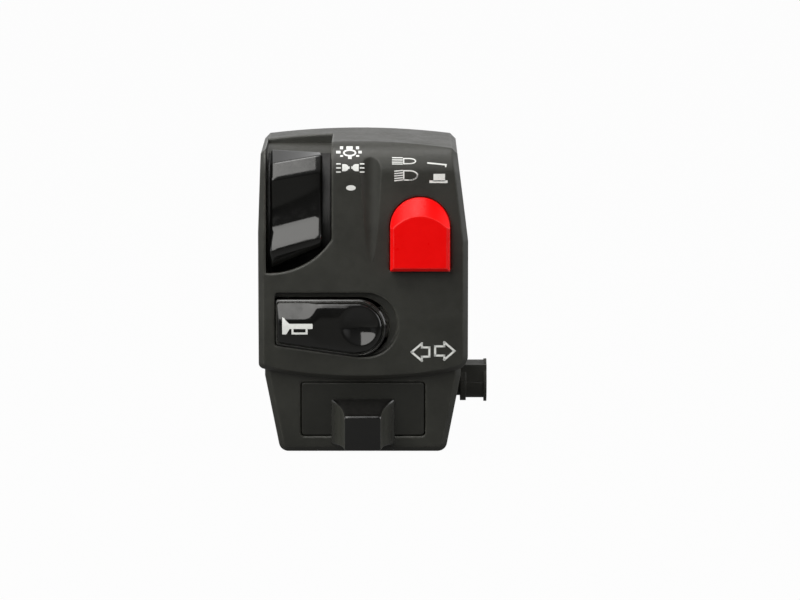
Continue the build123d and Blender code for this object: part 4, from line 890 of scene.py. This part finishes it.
def return_spring(name, node, wire, turns=4, steps=24, sides=10):
    """A coil of round wire in place of a CAD spring.

    The wire is its radius, and the coil's ends are closed.
    """
    low, high = (Vector(corner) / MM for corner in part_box(node))
    middle = (low + high) / 2
    radius = (high.x - low.x) / 2 - wire
    length = high.y - low.y
    mesh = bmesh.new()
    rings = []
    for k in range(steps * turns + 1):
        angle = TURN * k / steps
        share = k / (steps * turns)
        climb = share - 0.5 * math.sin(TURN * share) / TURN
        outward = Vector((math.cos(angle), 0, math.sin(angle)))
        centre = middle + radius * outward
        centre.y = low.y + wire + (length - 2 * wire) * climb
        rings.append([centre + wire * (outward * math.cos(side) + Vector((0, math.sin(side), 0)))
                      for side in (TURN * j / sides for j in range(sides))])
    add_rings(mesh, rings)
    spring = moulded(name, mesh, "housing", node, "steel")
    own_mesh(spring)


return_spring("dimmer_return_spring", "dimmer_spring", 0.225)
return_spring("horn_return_spring", "horn_spring", 0.2)


# Stage: a pale floor that the camera sees as white, with a trace of the object's shadow
floor_half, floor_gap = 6.0, 0.0002
floor_color, floor_white = (0.14, 0.14, 0.135, 1), 0.975


def mirror_ray(tree, path):
    """1 for the rays that gloss and glass send out."""
    return arith(tree, "MAXIMUM", path.outputs["Is Glossy Ray"],
                 path.outputs["Is Transmission Ray"])


def mix_shaders(tree, factor, first, second, out):
    """Mix two shaders by a factor into an output's surface."""
    mix = tree.nodes.new("ShaderNodeMixShader")
    tree.links.new(factor, mix.inputs["Fac"])
    tree.links.new(first, mix.inputs[1])
    tree.links.new(second, mix.inputs[2])
    tree.links.new(mix.outputs["Shader"], out.inputs["Surface"])


def floor_material():
    """White for the camera and plain pale for the light, in metres from the object."""
    material = bpy.data.materials.new("floor_white")
    material.use_nodes = True
    tree = material.node_tree
    tree.nodes.clear()
    out = tree.nodes.new("ShaderNodeOutputMaterial")
    matte = tree.nodes.new("ShaderNodeBsdfDiffuse")
    matte.inputs["Color"].default_value = floor_color
    glow = tree.nodes.new("ShaderNodeEmission")
    glow.inputs["Color"].default_value = (1, 1, 1, 1)
    path = tree.nodes.new("ShaderNodeLightPath")
    back = part_of(tree, tree.nodes.new("ShaderNodeTexCoord").outputs["Object"], "Y")
    # Gloss shows some white under and behind the object, and the dim room in front of it
    near = spread(tree, back, 0.0, 0.15, -0.16, -0.07)
    behind = spread(tree, back, 0.0, 0.5, 0.02, 0.3)
    mirrored = arith(tree, "MULTIPLY", mirror_ray(tree, path), arith(tree, "ADD", near, behind))
    seen = arith(tree, "MULTIPLY", path.outputs["Is Camera Ray"], floor_white)
    mix_shaders(tree, arith(tree, "MAXIMUM", seen, mirrored), matte.outputs["BSDF"],
                glow.outputs["Emission"], out)
    return material


floor_height = cad_box[0][2] - floor_gap
floor_corners = box_shape(-floor_half, floor_half, -floor_half, floor_half)
floor_mesh = bpy.data.meshes.new("floor")
floor_mesh.from_pydata([(x, y, floor_height) for x, y in floor_corners], [], [(0, 1, 2, 3)])
floor = bpy.data.objects.new("floor", floor_mesh)
bpy.context.scene.collection.objects.link(floor)
floor_mesh.materials.append(floor_material())


# Light: a long softbox at the upper left, two small ones, and a soft room around them
object_middle = (0.0, -0.02, -0.018)
warm_white = (1, 0.99, 0.96)


def area_light(name, place, target, size, power, color=(1, 1, 1)):
    """A rectangular softbox at a place, turned to a target."""
    lamp_data = bpy.data.lights.new(name, "AREA")
    lamp_data.shape = "RECTANGLE"
    lamp_data.size, lamp_data.size_y = size
    lamp_data.energy = power
    lamp_data.color = color
    light = bpy.data.objects.new(name, lamp_data)
    light.location = place
    aim = Vector(target) - Vector(place)
    light.rotation_euler = aim.to_track_quat("-Z", "Y").to_euler()
    bpy.context.scene.collection.objects.link(light)


def studio_world():
    """White for the camera, a soft room for the light, and white behind the object for gloss."""
    world = bpy.data.worlds.new("studio")
    world.use_nodes = True
    tree = world.node_tree
    tree.nodes.clear()
    out = tree.nodes.new("ShaderNodeOutputWorld")
    path = tree.nodes.new("ShaderNodeLightPath")
    direction = tree.nodes.new("ShaderNodeTexCoord").outputs["Generated"]
    # The room grows lighter upwards, behind the object and far to the sides
    above = spread(tree, part_of(tree, direction, "Z"), 0.10, 0.45, 0.0, 1.0)
    behind = spread(tree, part_of(tree, direction, "Y"), 0.0, 1.0, 0.1, 0.5)
    across = arith(tree, "ABSOLUTE", part_of(tree, direction, "X"))
    aside = spread(tree, across, 0.0, 1.5, 0.5, 0.95)
    level = arith(tree, "MAXIMUM", arith(tree, "MULTIPLY", behind, 0.25), aside)
    room = tree.nodes.new("ShaderNodeBackground")
    tree.links.new(arith(tree, "ADD", above, level), room.inputs["Strength"])
    white = tree.nodes.new("ShaderNodeBackground")
    white.inputs["Strength"].default_value = 1.0
    mirrored = arith(tree, "MULTIPLY", mirror_ray(tree, path), behind)
    seen = path.outputs["Is Camera Ray"]
    mix_shaders(tree, arith(tree, "MAXIMUM", seen, mirrored), room.outputs["Background"],
                white.outputs["Background"], out)
    return world


area_light("key_left", place=(-0.33, -0.425, 0.515), target=(-0.33, 0.113, -0.328),
           size=(0.62, 1.25), power=10.0, color=warm_white)
area_light("top", place=(0.02, -0.12, 0.80), target=object_middle, size=(0.30, 0.30),
           power=1.2)
area_light("rim_right", place=(0.75, -0.05, 0.25), target=object_middle, size=(0.35, 0.6),
           power=2.0)
bpy.context.scene.world = studio_world()


# Camera at the photograph's angle
camera_target = Vector((0.0101, -0.028, -0.0182))
camera_distance = 1.2
camera_data = bpy.data.cameras.new("camera")
camera_data.sensor_width = 36
camera_data.lens = 200
camera_data.clip_start = 0.05
camera = bpy.data.objects.new("camera", camera_data)
camera.location = camera_target + camera_distance * Vector((0, -math.cos(TILT), math.sin(TILT)))
camera.rotation_euler = (camera_target - camera.location).to_track_quat("-Z", "Y").to_euler()
bpy.context.scene.collection.objects.link(camera)
bpy.context.scene.camera = camera
bpy.context.scene.view_settings.view_transform = "Standard"
